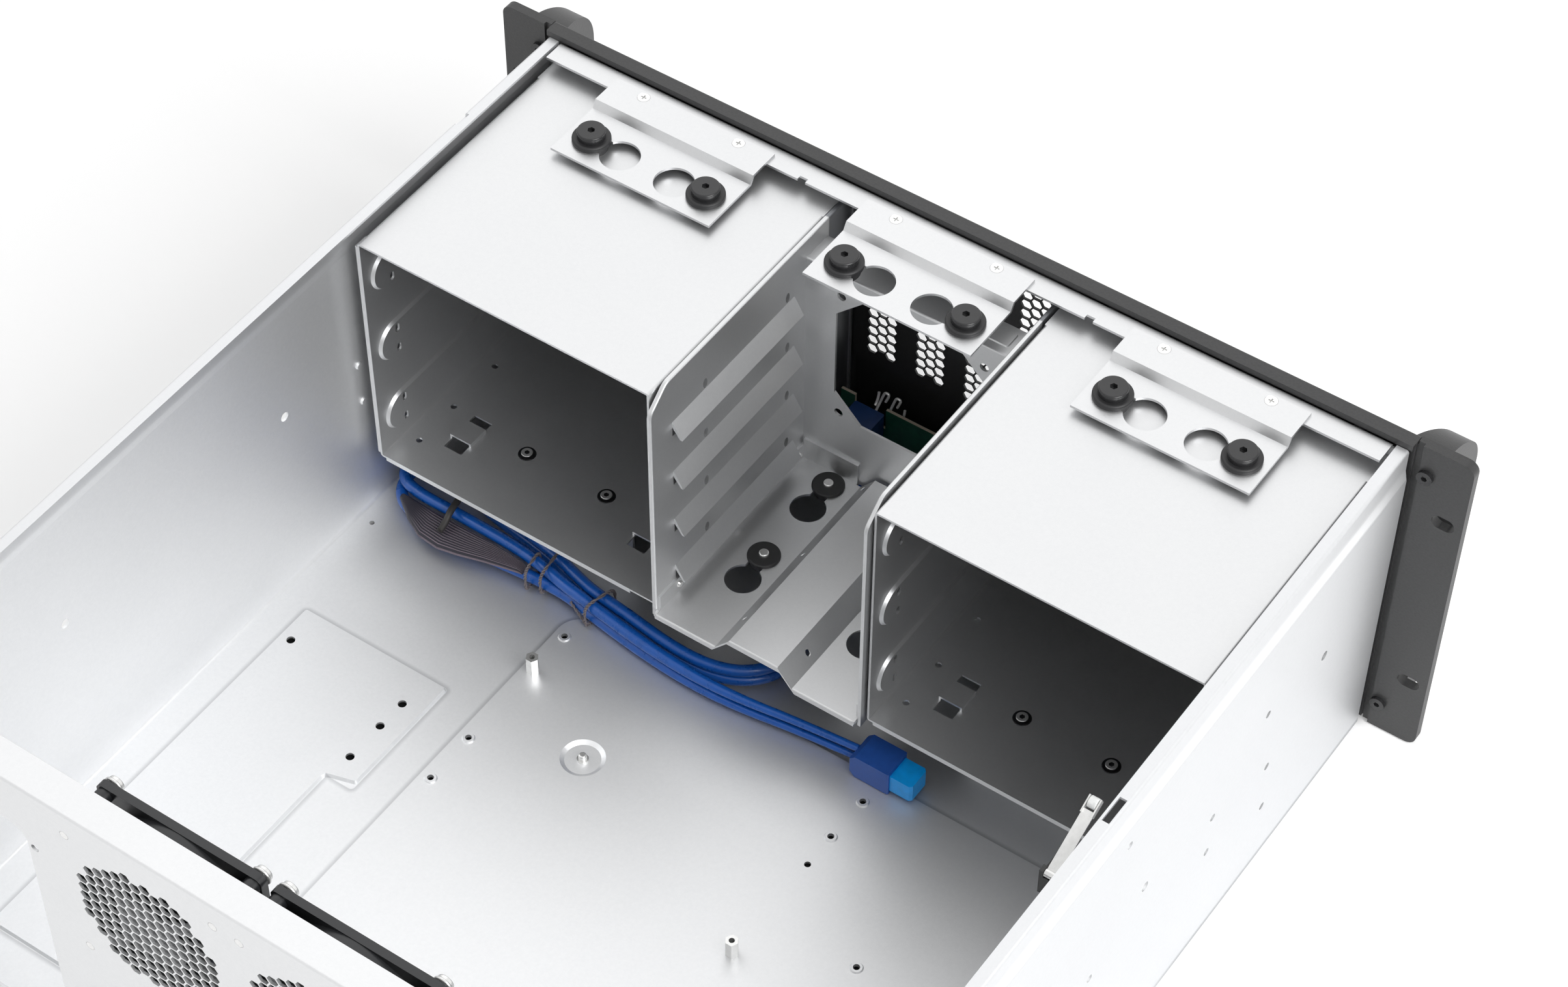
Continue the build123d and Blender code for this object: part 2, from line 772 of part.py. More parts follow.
with BuildPart() as header:
    header_left = header_x + header_size[0] / 2
    add(slab((header_x - header_size[0] / 2, header_left), (board_back_y, board_back_y + header_size[1]),
             (header_bottom, header_bottom + header_size[2])))
    chamfer(header.edges().filter_by(Axis.X).group_by(Axis.Z)[-1].group_by(Axis.Y)[-1], 4.0)
    fillet(header.edges().filter_by(Axis.Z), 1.0)
keep(header.part, "header_plug")


# Power and reset buttons, each a cap with a collar behind the panel

def push_button(centre_x, radius):
    """Button cap standing a little proud of the panel, on a stem to the board."""
    with BuildPart() as button:
        with BuildSketch(across(front_y + button_depth)):
            with Locations((centre_x, button_z)):
                Circle(radius)
        extrude(amount=button_depth + button_proud)
        fillet(button.edges().group_by(Axis.Y)[0], min(0.8, radius / 4))
        with BuildSketch(across(board_front_y - button_travel_room - 0.6)):
            with Locations((centre_x, button_z)):
                Circle(1.2)
        extrude(amount=board_front_y - button_travel_room - 0.6 - front_y - button_depth)
    return button.part


keep(push_button(power_x, power_radius), "power_button")
keep(push_button(reset_x, reset_radius), "reset_button")


# Bay covers in the panel's two large openings

def bay_cover(cage_centre, number):
    """Plain plate with a rim that reaches back into the cage."""
    bottom = cage_floor_top + number * bay_pitch + bay_gap / 2
    top = bottom + bay_pitch - bay_gap
    left = cage_centre - cage_half + bay_gap
    right = cage_centre + cage_half - bay_gap
    with BuildPart() as cover:
        add(slab((left, right), (front_y - 0.6, front_y + cover_flange), (bottom, top)))
        add(slab((left + 1.6, right - 1.6), (front_y - 0.6 + cover_thickness, front_y + cover_flange + 1),
                 (bottom + 1.6, top - 1.6)), mode=Mode.SUBTRACT)
        fillet(cover.faces().sort_by(Axis.Y)[0].edges(), 0.6)
    return cover.part


for number in range(bay_count):
    keep(bay_cover(cage_x, number), f"bay_cover_left_{number + 1}")
    keep(bay_cover(-cage_x, number), f"bay_cover_right_{number + 1}")


# Drive cages: sheet tubes with pressed rails, holes, lanced bridges and a hemmed edge

shoulder_spots = [(x + side * grommet_half_pitch, back(grommet_back)) for x in bracket_positions for side in (-1, 1)]


def drive_cage(cage_centre, outward):
    """Cage round one centre line; outward is +1 when the case wall is on +X."""
    left = cage_centre - cage_outer_half
    right = cage_centre + cage_outer_half
    hem_x = cage_centre + outward * cage_outer_half
    with BuildPart() as cage:
        with BuildSketch(across(back(cage_rear))) as section:
            with Locations((cage_centre, (cage_bottom + cage_top) / 2)):
                Rectangle(2 * cage_outer_half, cage_top - cage_bottom)
            fillet(section.vertices(), cage_sheet + 0.4)
        extrude(amount=back(cage_rear) - frame_rear_y)
        with BuildSketch(across(back(cage_rear))) as hollow:
            with Locations((cage_centre, (cage_floor_top + cage_inner_top) / 2)):
                Rectangle(2 * cage_half, cage_inner_height)
            fillet(hollow.vertices(), 0.4)
        extrude(amount=back(cage_rear) - frame_rear_y, mode=Mode.SUBTRACT)
        add(slab((left - 1, right + 1), (frame_rear_y - 1, back(cage_top_front)), (cage_inner_top - 8, cage_top + 1)),
            mode=Mode.SUBTRACT)

        # Turned-down lip along the rear edge of the floor
        add(slab((left + cage_sheet + cage_lip_gap, right - cage_sheet - 2), (back(cage_rear) - cage_sheet, back(cage_rear)),
                 (cage_bottom - cage_lip, cage_floor_top)))

        # Hem on the outer wall's rear edge
        add(slab((min(hem_x, hem_x + outward * hem_thickness), max(hem_x, hem_x + outward * hem_thickness)),
                 (back(cage_rear) - hem_depth, back(cage_rear)), (cage_bottom + 2, cage_top - 2)))

        # Rails pressed into both walls, with their drive slots
        for wall_side in (-1, 1):
            wall_face = cage_centre + wall_side * cage_half
            rail_middle = (back(rail_front) + back(rail_rear)) / 2
            rail_run = rail_rear - rail_front - rail_height
            inner_plane = Plane(origin=(wall_face, 0, 0), x_dir=(0, 1, 0), z_dir=(-wall_side, 0, 0))
            outer_plane = Plane(origin=(wall_face + wall_side * cage_sheet, 0, 0), x_dir=(0, 1, 0),
                                z_dir=(-wall_side, 0, 0))
            flip = 1 if inner_plane.y_dir.Z > 0 else -1
            rail_zs = [rail_first + index * rail_pitch + rail_height / 2 for index in range(rail_count)]
            with BuildSketch(inner_plane):
                with Locations(*[(rail_middle, flip * z) for z in rail_zs]):
                    SlotCenterToCenter(rail_run, rail_height)
            extrude(amount=rail_rise, taper=35)
            with BuildSketch(outer_plane):
                with Locations(*[(rail_middle, flip * z) for z in rail_zs]):
                    SlotCenterToCenter(rail_run, rail_height - 2 * cage_sheet)
            extrude(amount=rail_rise, taper=35, mode=Mode.SUBTRACT)
            slot_spots = [(back(distance), flip * (z + rise)) for distance in drive_slot_backs for z in rail_zs
                          for rise in (-drive_slot_rise / 2, drive_slot_rise / 2)]
            with BuildSketch(outer_plane):
                with Locations(*slot_spots):
                    SlotOverall(drive_slot_height, drive_slot_width, rotation=90)
            extrude(amount=cage_sheet + rail_rise + 0.5, mode=Mode.SUBTRACT)

        # Floor holes, lanced bridges and screw dishes
        hole_spots = [(cage_centre + side * (cage_half - cage_hole_inset), back(distance))
                      for side in (-1, 1) for distance in cage_hole_backs]
        extrude(discs(level(cage_bottom - 1), hole_spots, cage_hole_radius), amount=3, mode=Mode.SUBTRACT)
        for side in (-1, 1):
            bridge_x = cage_centre + side * (cage_half - bridge_inset)
            edges_x = (bridge_x - bridge_width / 2, bridge_x + bridge_width / 2)
            strap_y = (back(bridge_back - bridge_strap / 2), back(bridge_back + bridge_strap / 2))
            add(slab(edges_x, (back(bridge_back - bridge_window / 2), back(bridge_back + bridge_window / 2)),
                     (cage_bottom - 1, cage_floor_top + 1)), mode=Mode.SUBTRACT)
            add(slab((edges_x[0] - cage_sheet, edges_x[1] + cage_sheet), strap_y,
                     (cage_floor_top - 0.3, cage_floor_top + bridge_rise)))
            add(slab(edges_x, strap_y, (cage_bottom - 1, cage_floor_top + bridge_rise - cage_sheet)),
                mode=Mode.SUBTRACT)
        screw_spots = [(cage_centre + side * cage_screw_half_pitch, back(cage_screw_back)) for side in (-1, 1)]
        extrude(discs(level(cage_bottom - 1), screw_spots, cage_screw_radius + 0.1), amount=3, mode=Mode.SUBTRACT)

        # Holes in the top for the shoulder screws
        top_spots = [spot for spot in shoulder_spots if left < spot[0] < right]
        extrude(discs(level(cage_inner_top - 1), top_spots, grommet_bore), amount=3, mode=Mode.SUBTRACT)
    return cage.part


keep(drive_cage(cage_x, 1), "drive_cage_left")
keep(drive_cage(-cage_x, -1), "drive_cage_right")

with BuildPart() as cage_screws:
    spots = [(side * cage_x + hand * cage_screw_half_pitch, back(cage_screw_back))
             for side in (-1, 1) for hand in (-1, 1)]
    with BuildSketch(level(cage_floor_top)):
        with Locations(*spots):
            Circle(cage_screw_dish)
    extrude(amount=0.4, taper=30)
    with BuildSketch(level(cage_floor_top)):
        with Locations(*spots):
            Circle(cage_screw_head)
    extrude(amount=cage_screw_head_height)
    fillet(cage_screws.edges().group_by(Axis.Z)[-1], 0.5)
    with BuildSketch(level(cage_floor_top + cage_screw_head_height)):
        with Locations(*spots):
            RegularPolygon(1.3, 6)
    extrude(amount=-0.8, mode=Mode.SUBTRACT)
    with BuildSketch(level(cage_floor_top)):
        with Locations(*spots):
            Circle(cage_screw_radius)
    extrude(amount=-cage_screw_length)
keep(cage_screws.part, "cage_screws")


# Supports under the cages: folded hats on the floor

def cage_support(cage_centre):
    """Hat bracket from the case floor up to the cage floor."""
    left = cage_centre - support_width / 2
    right = cage_centre + support_width / 2
    front = back(support_front)
    rear = back(support_rear)
    with BuildPart() as support:
        add(slab((left, right), (front, rear), (sheet, cage_bottom)))
        add(slab((left - 1, right + 1), (front + sheet, rear - sheet), (0, cage_bottom - sheet)), mode=Mode.SUBTRACT)
        add(slab((left, right), (front - support_foot, front + sheet), (sheet, 2 * sheet)))
        spots = [(cage_centre + side * cage_screw_half_pitch, back(cage_screw_back)) for side in (-1, 1)]
        extrude(discs(level(cage_bottom - 3), spots, cage_screw_radius + 0.1), amount=4, mode=Mode.SUBTRACT)
    return support.part


keep(cage_support(cage_x), "cage_support_left")
keep(cage_support(-cage_x), "cage_support_right")


# Keyhole brackets: a plate on the front flange that steps down over the cage

def keyhole_bracket(centre_x):
    """Stepped bracket with two keyholes, mirrored about its middle."""
    left = centre_x - bracket_width / 2
    right = centre_x + bracket_width / 2
    with BuildPart() as bracket:
        with BuildSketch(along(left)) as profile:
            with BuildLine():
                Polyline(
                    (back(bracket_front), body_height),
                    (back(bracket_front), bracket_top),
                    (back(bracket_step_back), bracket_top),
                    (back(bracket_step_back) + bracket_drop * 0.6, lower_plate_top),
                    (back(bracket_rear), lower_plate_top),
                    (back(bracket_rear), lower_plate_bottom),
                    (back(bracket_step_back) + bracket_drop * 0.6 - 0.9, lower_plate_bottom),
                    (back(bracket_step_back) - 0.9, body_height),
                    close=True,
                )
            make_face()
        extrude(amount=bracket_width)
        for side in (-1, 1):
            seat_x = centre_x + side * grommet_half_pitch
            open_x = seat_x - side * keyhole_offset
            seat_y = back(grommet_back)
            with BuildSketch(level(lower_plate_bottom - 1)):
                with Locations((seat_x, seat_y)):
                    Circle(grommet_neck + 0.2)
                with Locations((open_x, seat_y + keyhole_drop)):
                    Circle(keyhole_radius)
                with Locations(((seat_x + open_x) / 2, seat_y + keyhole_drop / 2)):
                    Rectangle(keyhole_offset, 2 * grommet_neck - 1.6)
            extrude(amount=3 * sheet, mode=Mode.SUBTRACT)
        spots = [(centre_x + side * bracket_screw_half, back(bracket_screw_back)) for side in (-1, 1)]
        for spot in spots:
            with Locations((spot[0], spot[1], body_height)):
                Cone(bracket_screw_radius + 0.1, bracket_head_radius, sheet,
                     align=(Align.CENTER, Align.CENTER, Align.MIN), mode=Mode.SUBTRACT)
    return bracket.part


for bracket_x, bracket_name in zip(bracket_positions, bracket_names):
    keep(keyhole_bracket(bracket_x), f"keyhole_bracket_{bracket_name}")

with BuildPart() as bracket_screws:
    for spot in bracket_screw_spots:
        with Locations((spot[0], spot[1], body_height)):
            Cone(bracket_screw_radius, bracket_head_radius - 0.1, sheet, align=(Align.CENTER, Align.CENTER, Align.MIN))
        with Locations((spot[0], spot[1], body_height - 3.5)):
            Cylinder(bracket_screw_radius, 3.5, align=(Align.CENTER, Align.CENTER, Align.MIN))
    with BuildSketch(level(bracket_top)):
        with Locations(*bracket_screw_spots):
            Rectangle(2.6, 0.6)
            Rectangle(0.6, 2.6)
    extrude(amount=-0.7, mode=Mode.SUBTRACT)
keep(bracket_screws.part, "bracket_screws")

grommet_foot_bottom = cage_top
with BuildPart() as grommets:
    with BuildSketch(level(grommet_foot_bottom)):
        with Locations(*shoulder_spots):
            Circle(grommet_foot_radius)
    extrude(amount=lower_plate_bottom - grommet_foot_bottom)
    with BuildSketch(level(lower_plate_bottom)):
        with Locations(*shoulder_spots):
            Circle(grommet_neck)
    extrude(amount=sheet)
    with BuildSketch(level(lower_plate_top)):
        with Locations(*shoulder_spots):
            Circle(grommet_radius)
    extrude(amount=grommet_upper)
    fillet(grommets.edges().group_by(Axis.Z)[-1], 1.0)
    extrude(discs(level(grommet_foot_bottom - 1), shoulder_spots, grommet_bore), amount=12, mode=Mode.SUBTRACT)
keep(grommets.part, "bracket_grommets")

shoulder_seat = lower_plate_top + grommet_upper
with BuildPart() as shoulder_screws:
    with BuildSketch(level(shoulder_seat)):
        with Locations(*shoulder_spots):
            Circle(shoulder_head_radius)
    extrude(amount=shoulder_head_height)
    fillet(shoulder_screws.edges().group_by(Axis.Z)[-1], 0.7)
    with BuildSketch(level(shoulder_seat + shoulder_head_height)):
        with Locations(*shoulder_spots):
            RegularPolygon(shoulder_socket / 2, 6, major_radius=False)
    extrude(amount=-2.0, mode=Mode.SUBTRACT)
    with BuildSketch(level(shoulder_seat)):
        with Locations(*shoulder_spots):
            Circle(grommet_bore - 0.1)
    extrude(amount=-(shoulder_seat - cage_inner_top + shoulder_reach))
keep(shoulder_screws.part, "shoulder_screws")


# Centre side plates with lanced ledges and slots

def centre_plate(side):
    """Upright plate beside one cage, its ledges towards the middle."""
    corner_back, corner_drop = side_plate_corner
    ledge_zs = [ledge_first + index * ledge_pitch for index in range(ledge_count)]
    with BuildPart() as plate:
        with BuildSketch(along(bay_half)) as outline:
            with BuildLine():
                Polyline(
                    (frame_rear_y, side_plate_bottom),
                    (back(side_plate_rear), side_plate_bottom),
                    (back(side_plate_rear), side_plate_top - corner_drop),
                    (back(side_plate_rear - corner_back), side_plate_top),
                    (frame_rear_y, side_plate_top),
                    close=True,
                )
            make_face()
            rear_corners = outline.vertices().filter_by_position(Axis.X, back(130), back(side_plate_rear) + 0.1)
            fillet(rear_corners.group_by(Axis.Y)[-1], side_plate_round)
            fillet(outline.vertices().group_by(Axis.X)[-1].group_by(Axis.Y)[-1], side_plate_round)
        extrude(amount=side_plate)
        edge_faces = plate.faces().filter_by(Axis.X)
        fillet(edge_faces.sort_by(Axis.X)[0].edges().filter_by_position(
            Axis.Y, back(100), back(side_plate_rear) + 1), 0.8)
        for z in ledge_zs:
            add(slab((bay_half - 1, bay_half + side_plate + 1), (back(ledge_front), back(ledge_rear)),
                     (z, z + ledge_height - 1.5)), mode=Mode.SUBTRACT)
            with BuildSketch(across(back(ledge_rear))):
                with BuildLine():
                    Polyline(
                        (bay_half, z + ledge_height),
                        (bay_half - ledge_reach, z),
                        (bay_half - ledge_reach + ledge_sheet, z),
                        (bay_half + ledge_sheet, z + ledge_height - 1.5),
                        (bay_half + ledge_sheet, z + ledge_height),
                        close=True,
                    )
                make_face()
            extrude(amount=ledge_rear - ledge_front)
        slot_spots = [(back(distance), z + ledge_slot_rise + 3.0) for distance in ledge_slot_backs for z in ledge_zs]
        with BuildSketch(along(bay_half - 1)):
            with Locations(*slot_spots):
                Ellipse(ledge_slot_width / 2, ledge_slot_height / 2)
        extrude(amount=side_plate + 2, mode=Mode.SUBTRACT)
        extrude(discs(along(bay_half - 1), [(back(distance), tray_top + tray_flange / 2) for distance in rivet_backs],
                      rivet_radius - 0.4), amount=side_plate + 2, mode=Mode.SUBTRACT)
    return plate.part if side > 0 else plate.part.mirror(Plane.YZ)


keep(centre_plate(1), "centre_plate_left")
keep(centre_plate(-1), "centre_plate_right")


# Tray: hat section between the side plates, with keyholes in its low strips

tray_front_y = back(fan_plate_back)
tray_rear_y = back(tray_rear)
tray_spots = [(side * tray_key_x, back(distance)) for side in (-1, 1) for distance in tray_key_backs]
with BuildPart() as tray:
    tray_top_line = [
        (-bay_half, tray_top + tray_flange), (-bay_half, tray_top - sheet),
        (-tray_slope_half, tray_top - sheet), (-tray_flat_half, tray_top + tray_rise - sheet),
        (tray_flat_half, tray_top + tray_rise - sheet), (tray_slope_half, tray_top - sheet),
        (bay_half, tray_top - sheet), (bay_half, tray_top + tray_flange),
        (bay_half - sheet, tray_top + tray_flange), (bay_half - sheet, tray_top),
        (tray_slope_half - 0.5, tray_top), (tray_flat_half - 0.5, tray_top + tray_rise),
        (-tray_flat_half + 0.5, tray_top + tray_rise), (-tray_slope_half + 0.5, tray_top),
        (-bay_half + sheet, tray_top), (-bay_half + sheet, tray_top + tray_flange),
    ]
    with BuildSketch(across(tray_rear_y)):
        Polygon(*tray_top_line, align=None)
    extrude(amount=tray_rear_y - tray_front_y)
    add(slab((-tray_slope_half - 2, tray_slope_half + 2), (tray_front_y - 1, tray_front_y + tray_hat_gap),
             (tray_top - 3, tray_top + tray_rise + 2)), mode=Mode.SUBTRACT)
    add(slab((-bay_half - 1, -bay_half + sheet + 1), (back(side_plate_rear) - 1.5, tray_rear_y + 1),
             (tray_top + 0.6, tray_top + tray_flange + 1)), mode=Mode.SUBTRACT)
    add(slab((bay_half - sheet - 1, bay_half + 1), (back(side_plate_rear) - 1.5, tray_rear_y + 1),
             (tray_top + 0.6, tray_top + tray_flange + 1)), mode=Mode.SUBTRACT)

    # Rear lip, turned down along the hat's outline
    lip_line = [
        (-bay_half + 0.4, tray_top), (-tray_slope_half + 0.5, tray_top),
        (-tray_flat_half + 0.5, tray_top + tray_rise), (tray_flat_half - 0.5, tray_top + tray_rise),
        (tray_slope_half - 0.5, tray_top), (bay_half - 0.4, tray_top),
        (bay_half - 0.4, tray_top - tray_lip), (tray_slope_half + 0.8, tray_top - tray_lip),
        (tray_flat_half + 0.8, tray_top + tray_rise - tray_lip),
        (-tray_flat_half - 0.8, tray_top + tray_rise - tray_lip),
        (-tray_slope_half - 0.8, tray_top - tray_lip), (-bay_half + 0.4, tray_top - tray_lip),
    ]
    with BuildSketch(across(tray_rear_y)):
        Polygon(*lip_line, align=None)
    extrude(amount=sheet)
    fillet(tray.edges().filter_by_position(Axis.Y, tray_rear_y - 0.01, tray_rear_y + 0.01).filter_by(Axis.X)
           .filter_by_position(Axis.Z, tray_top - 0.1, tray_top + 0.1), 0.9)
    fillet(tray.edges().filter_by_position(Axis.Y, tray_rear_y - 0.01, tray_rear_y + 0.01).filter_by(Axis.X)
           .filter_by_position(Axis.Z, tray_top + tray_rise - 0.1, tray_top + tray_rise + 0.1), 0.9)

    # Tabs against the fan plate, and the keyholes
    for side in (-1, 1):
        tab_x = sorted((side * tray_tab_half_gap, side * (bay_half - sheet)))
        add(slab(tab_x, (tray_front_y, tray_front_y + sheet), (tray_top - sheet, tray_top + tray_tab_height)))
    with BuildSketch(level(tray_top - 2 * sheet)):
        for spot in tray_spots:
            with Locations(spot):
                Circle(tray_grommet_neck + 0.2)
            with Locations((spot[0], spot[1] + tray_key_slide)):
                Circle(tray_key_radius)
            with Locations((spot[0], spot[1] + tray_key_slide / 2)):
                Rectangle(2 * tray_grommet_neck - 1.2, tray_key_slide)
    extrude(amount=3 * sheet, mode=Mode.SUBTRACT)
    extrude(discs(along(-bay_half - 1), [(back(distance), tray_top + tray_flange / 2) for distance in rivet_backs],
                  rivet_radius - 0.4), amount=2 * bay_half + 2, mode=Mode.SUBTRACT)
keep(tray.part, "centre_tray")

with BuildPart() as tray_grommets:
    with BuildSketch(level(tray_top - sheet - 2.0)):
        with Locations(*tray_spots):
            Circle(tray_grommet_foot)
    extrude(amount=2.0)
    with BuildSketch(level(tray_top - sheet)):
        with Locations(*tray_spots):
            Circle(tray_grommet_neck)
    extrude(amount=sheet)
    with BuildSketch(level(tray_top)):
        with Locations(*tray_spots):
            Circle(tray_grommet_radius)
    extrude(amount=tray_grommet_lift)
    fillet(tray_grommets.edges().group_by(Axis.Z)[-1], 0.7)
    extrude(discs(level(tray_top - 5), tray_spots, tray_stud_radius - 0.6), amount=10, mode=Mode.SUBTRACT)
keep(tray_grommets.part, "tray_grommets")

with BuildPart() as tray_studs:
    with BuildSketch(level(tray_top + tray_grommet_lift)):
        with Locations(*tray_spots):
            Circle(tray_stud_radius)
    extrude(amount=tray_stud_lift)
    fillet(tray_studs.edges().group_by(Axis.Z)[-1], 0.6)
    with BuildSketch(level(tray_top + tray_grommet_lift)):
        with Locations(*tray_spots):
            Circle(tray_stud_radius - 0.7)
    extrude(amount=-(tray_grommet_lift + sheet + 2.5))
keep(tray_studs.part, "tray_studs")

with BuildPart() as rivets:
    for side in (-1, 1):
        for distance in rivet_backs:
            inner_face = bay_half - sheet
            rivet_plane = Plane(origin=(side * inner_face, back(distance), tray_top + tray_flange / 2),
                                z_dir=(-side, 0, 0))
            with BuildSketch(rivet_plane):
                Circle(rivet_radius)
            extrude(amount=rivet_lift, taper=30)
            with BuildSketch(rivet_plane):
                Circle(rivet_radius - 0.5)
            extrude(amount=-(sheet + side_plate))
keep(rivets.part, "centre_rivets")


# Fan plate in front of the tray, with its eight-sided window and top flange

with BuildPart() as fan_plate:
    plate_rear_y = back(fan_plate_back)
    plate_front_y = plate_rear_y - sheet
    add(slab((-bay_half, bay_half), (plate_front_y, plate_rear_y), (tray_top - 1, fan_plate_top)))
    add(slab((-bay_half, bay_half), (plate_front_y - fan_plate_flange, plate_rear_y),
             (fan_plate_top - sheet, fan_plate_top)))
    fillet(fan_plate.edges().filter_by(Axis.X).group_by(Axis.Z)[-1].group_by(Axis.Y)[-1], 1.0)
    with BuildSketch(across(plate_rear_y + 1)) as window:
        with Locations((fan_window_x, fan_window_z)):
            Rectangle(2 * fan_window_half, 2 * fan_window_half)
        chamfer(window.vertices(), fan_window_corner)
    extrude(amount=3, mode=Mode.SUBTRACT)
    fan_plate_holes = [(fan_window_x + i * fan_hole_half, fan_window_z + j * fan_hole_half)
                       for i in (-1, 1) for j in (-1, 1)]
    extrude(discs(across(plate_rear_y + 1), fan_plate_holes, fan_hole_radius), amount=3, mode=Mode.SUBTRACT)
    with BuildSketch(level(fan_plate_top)):
        with Locations((fan_tab_x, plate_front_y - fan_plate_flange / 2)):
            RectangleRounded(*fan_tab_size, 1.5)
    extrude(amount=fan_tab_rise, taper=30)
keep(fan_plate.part, "fan_plate")


# Rear wall: recessed port and slot field, fan grilles, power supply opening, top flange

slot_xs = [slot_first_x - index * slot_pitch for index in range(slot_count)]
recess_front_y = rear_y - recess_depth - 2 * sheet
recess_rear_y = recess_front_y + recess_sheet


def grille_points():
    """Hexagon centres inside both fan circles."""
    points = []
    for fan_x in fan_xs:
        for x, z in hexagon_points(16, 16, fan_z - 7.75 * hex_pitch, fan_x):
            if hypot(x - fan_x, z - fan_z) < grille_radius - hex_across / 2:
                points.append((x, z))
    return points


recess_outline = [
    (recess_left_x, recess_bottom), (recess_left_x, port_recess_top), (recess_middle_x, port_recess_top),
    (recess_middle_x, slot_recess_top), (recess_right_x, slot_recess_top), (recess_right_x, recess_bottom),
]
fan_holes = [(x + i * fan_hole_half, fan_z + j * fan_hole_half) for x in fan_xs for i in (-1, 1) for j in (-1, 1)]
slot_cover_screw_spots = [(x - 6.5, recess_rear_y + 4.2) for x in slot_xs]

with BuildPart() as rear:
    rear_half = half_width - rear_side_gap
    add(slab((-rear_half, rear_half), (pan_rear_y, rear_y), (rear_side_gap, body_height)))
    add(slab((-flange_edge_x + 0.4, flange_edge_x - 0.4), (rear_y - rear_flange, rear_y),
             (body_height - sheet, body_height)))
    fillet(rear.edges().filter_by(Axis.X).group_by(Axis.Z)[-1].group_by(Axis.Y)[-1], 1.1)
    with BuildSketch(across(rear_y)):
        Polygon(*recess_outline, align=None)
    extrude(amount=rear_y - recess_front_y)
    with BuildSketch(across(rear_y)) as recess_inside:
        Polygon(*recess_outline, align=None)
        offset(amount=-sheet, kind=Kind.INTERSECTION)
    extrude(amount=rear_y - recess_rear_y, mode=Mode.SUBTRACT)
    add(slab((port_window_x - port_window[0] / 2, port_window_x + port_window[0] / 2),
             (recess_front_y - 1, recess_rear_y + 1),
             (port_window_z - port_window[1] / 2, port_window_z + port_window[1] / 2)), mode=Mode.SUBTRACT)
    for slot_x in slot_xs:
        add(slab((slot_x - slot_width / 2, slot_x + slot_width / 2), (recess_front_y - 1, recess_rear_y + 1),
                 (slot_bottom, slot_top)), mode=Mode.SUBTRACT)
    with BuildSketch(across(rear_y + 1)) as supply_cut:
        with Locations((supply_x, supply_z)):
            RectangleRounded(*supply_opening, supply_corner)
    extrude(amount=4, mode=Mode.SUBTRACT)
    supply_holes = [(supply_x + i * (supply_opening[0] / 2 + 3.2), supply_z + j * 60.0)
                    for i in (-1, 1) for j in (-1, 1)]
    extrude(discs(across(rear_y + 1), supply_holes, 1.9), amount=4, mode=Mode.SUBTRACT)
    extrude(discs(across(rear_y + 1), fan_holes, fan_corner_screw_radius + 0.1), amount=4, mode=Mode.SUBTRACT)
    with BuildSketch(across(rear_y + 1)):
        with Locations(*grille_points()):
            RegularPolygon(hex_across / 2, 6, major_radius=False)
    extrude(amount=4, mode=Mode.SUBTRACT)
    extrude(discs(level(slot_recess_top - 3), slot_cover_screw_spots, slot_screw_radius + 0.1), amount=5,
            mode=Mode.SUBTRACT)
keep(rear.part, "rear_wall")

with BuildPart() as slot_covers:
    for slot_x in slot_xs:
        add(slab((slot_x - cover_width / 2, slot_x + cover_width / 2), (recess_front_y - cover_sheet, recess_front_y),
                 (slot_bottom - 4, slot_recess_top + cover_sheet)))
        add(slab((slot_x - cover_width / 2, slot_x + cover_width / 2),
                 (recess_front_y - cover_sheet, recess_front_y + cover_tab),
                 (slot_recess_top, slot_recess_top + cover_sheet)))
    extrude(discs(level(slot_recess_top - 1), slot_cover_screw_spots, slot_screw_radius + 0.1), amount=4,
            mode=Mode.SUBTRACT)
keep(slot_covers.part, "slot_covers")

with BuildPart() as slot_screws:
    with BuildSketch(level(slot_recess_top + cover_sheet)):
        with Locations(*slot_cover_screw_spots):
            Circle(slot_screw_head)
    extrude(amount=1.8)
    fillet(slot_screws.edges().group_by(Axis.Z)[-1], 0.6)
    with BuildSketch(level(slot_recess_top + cover_sheet)):
        with Locations(*slot_cover_screw_spots):
            Circle(slot_screw_radius)
    extrude(amount=-4.0)
keep(slot_screws.part, "slot_screws")


# Rear fans: square frames with a bore, rotors on their hubs

fan_front_y = pan_rear_y - fan_depth


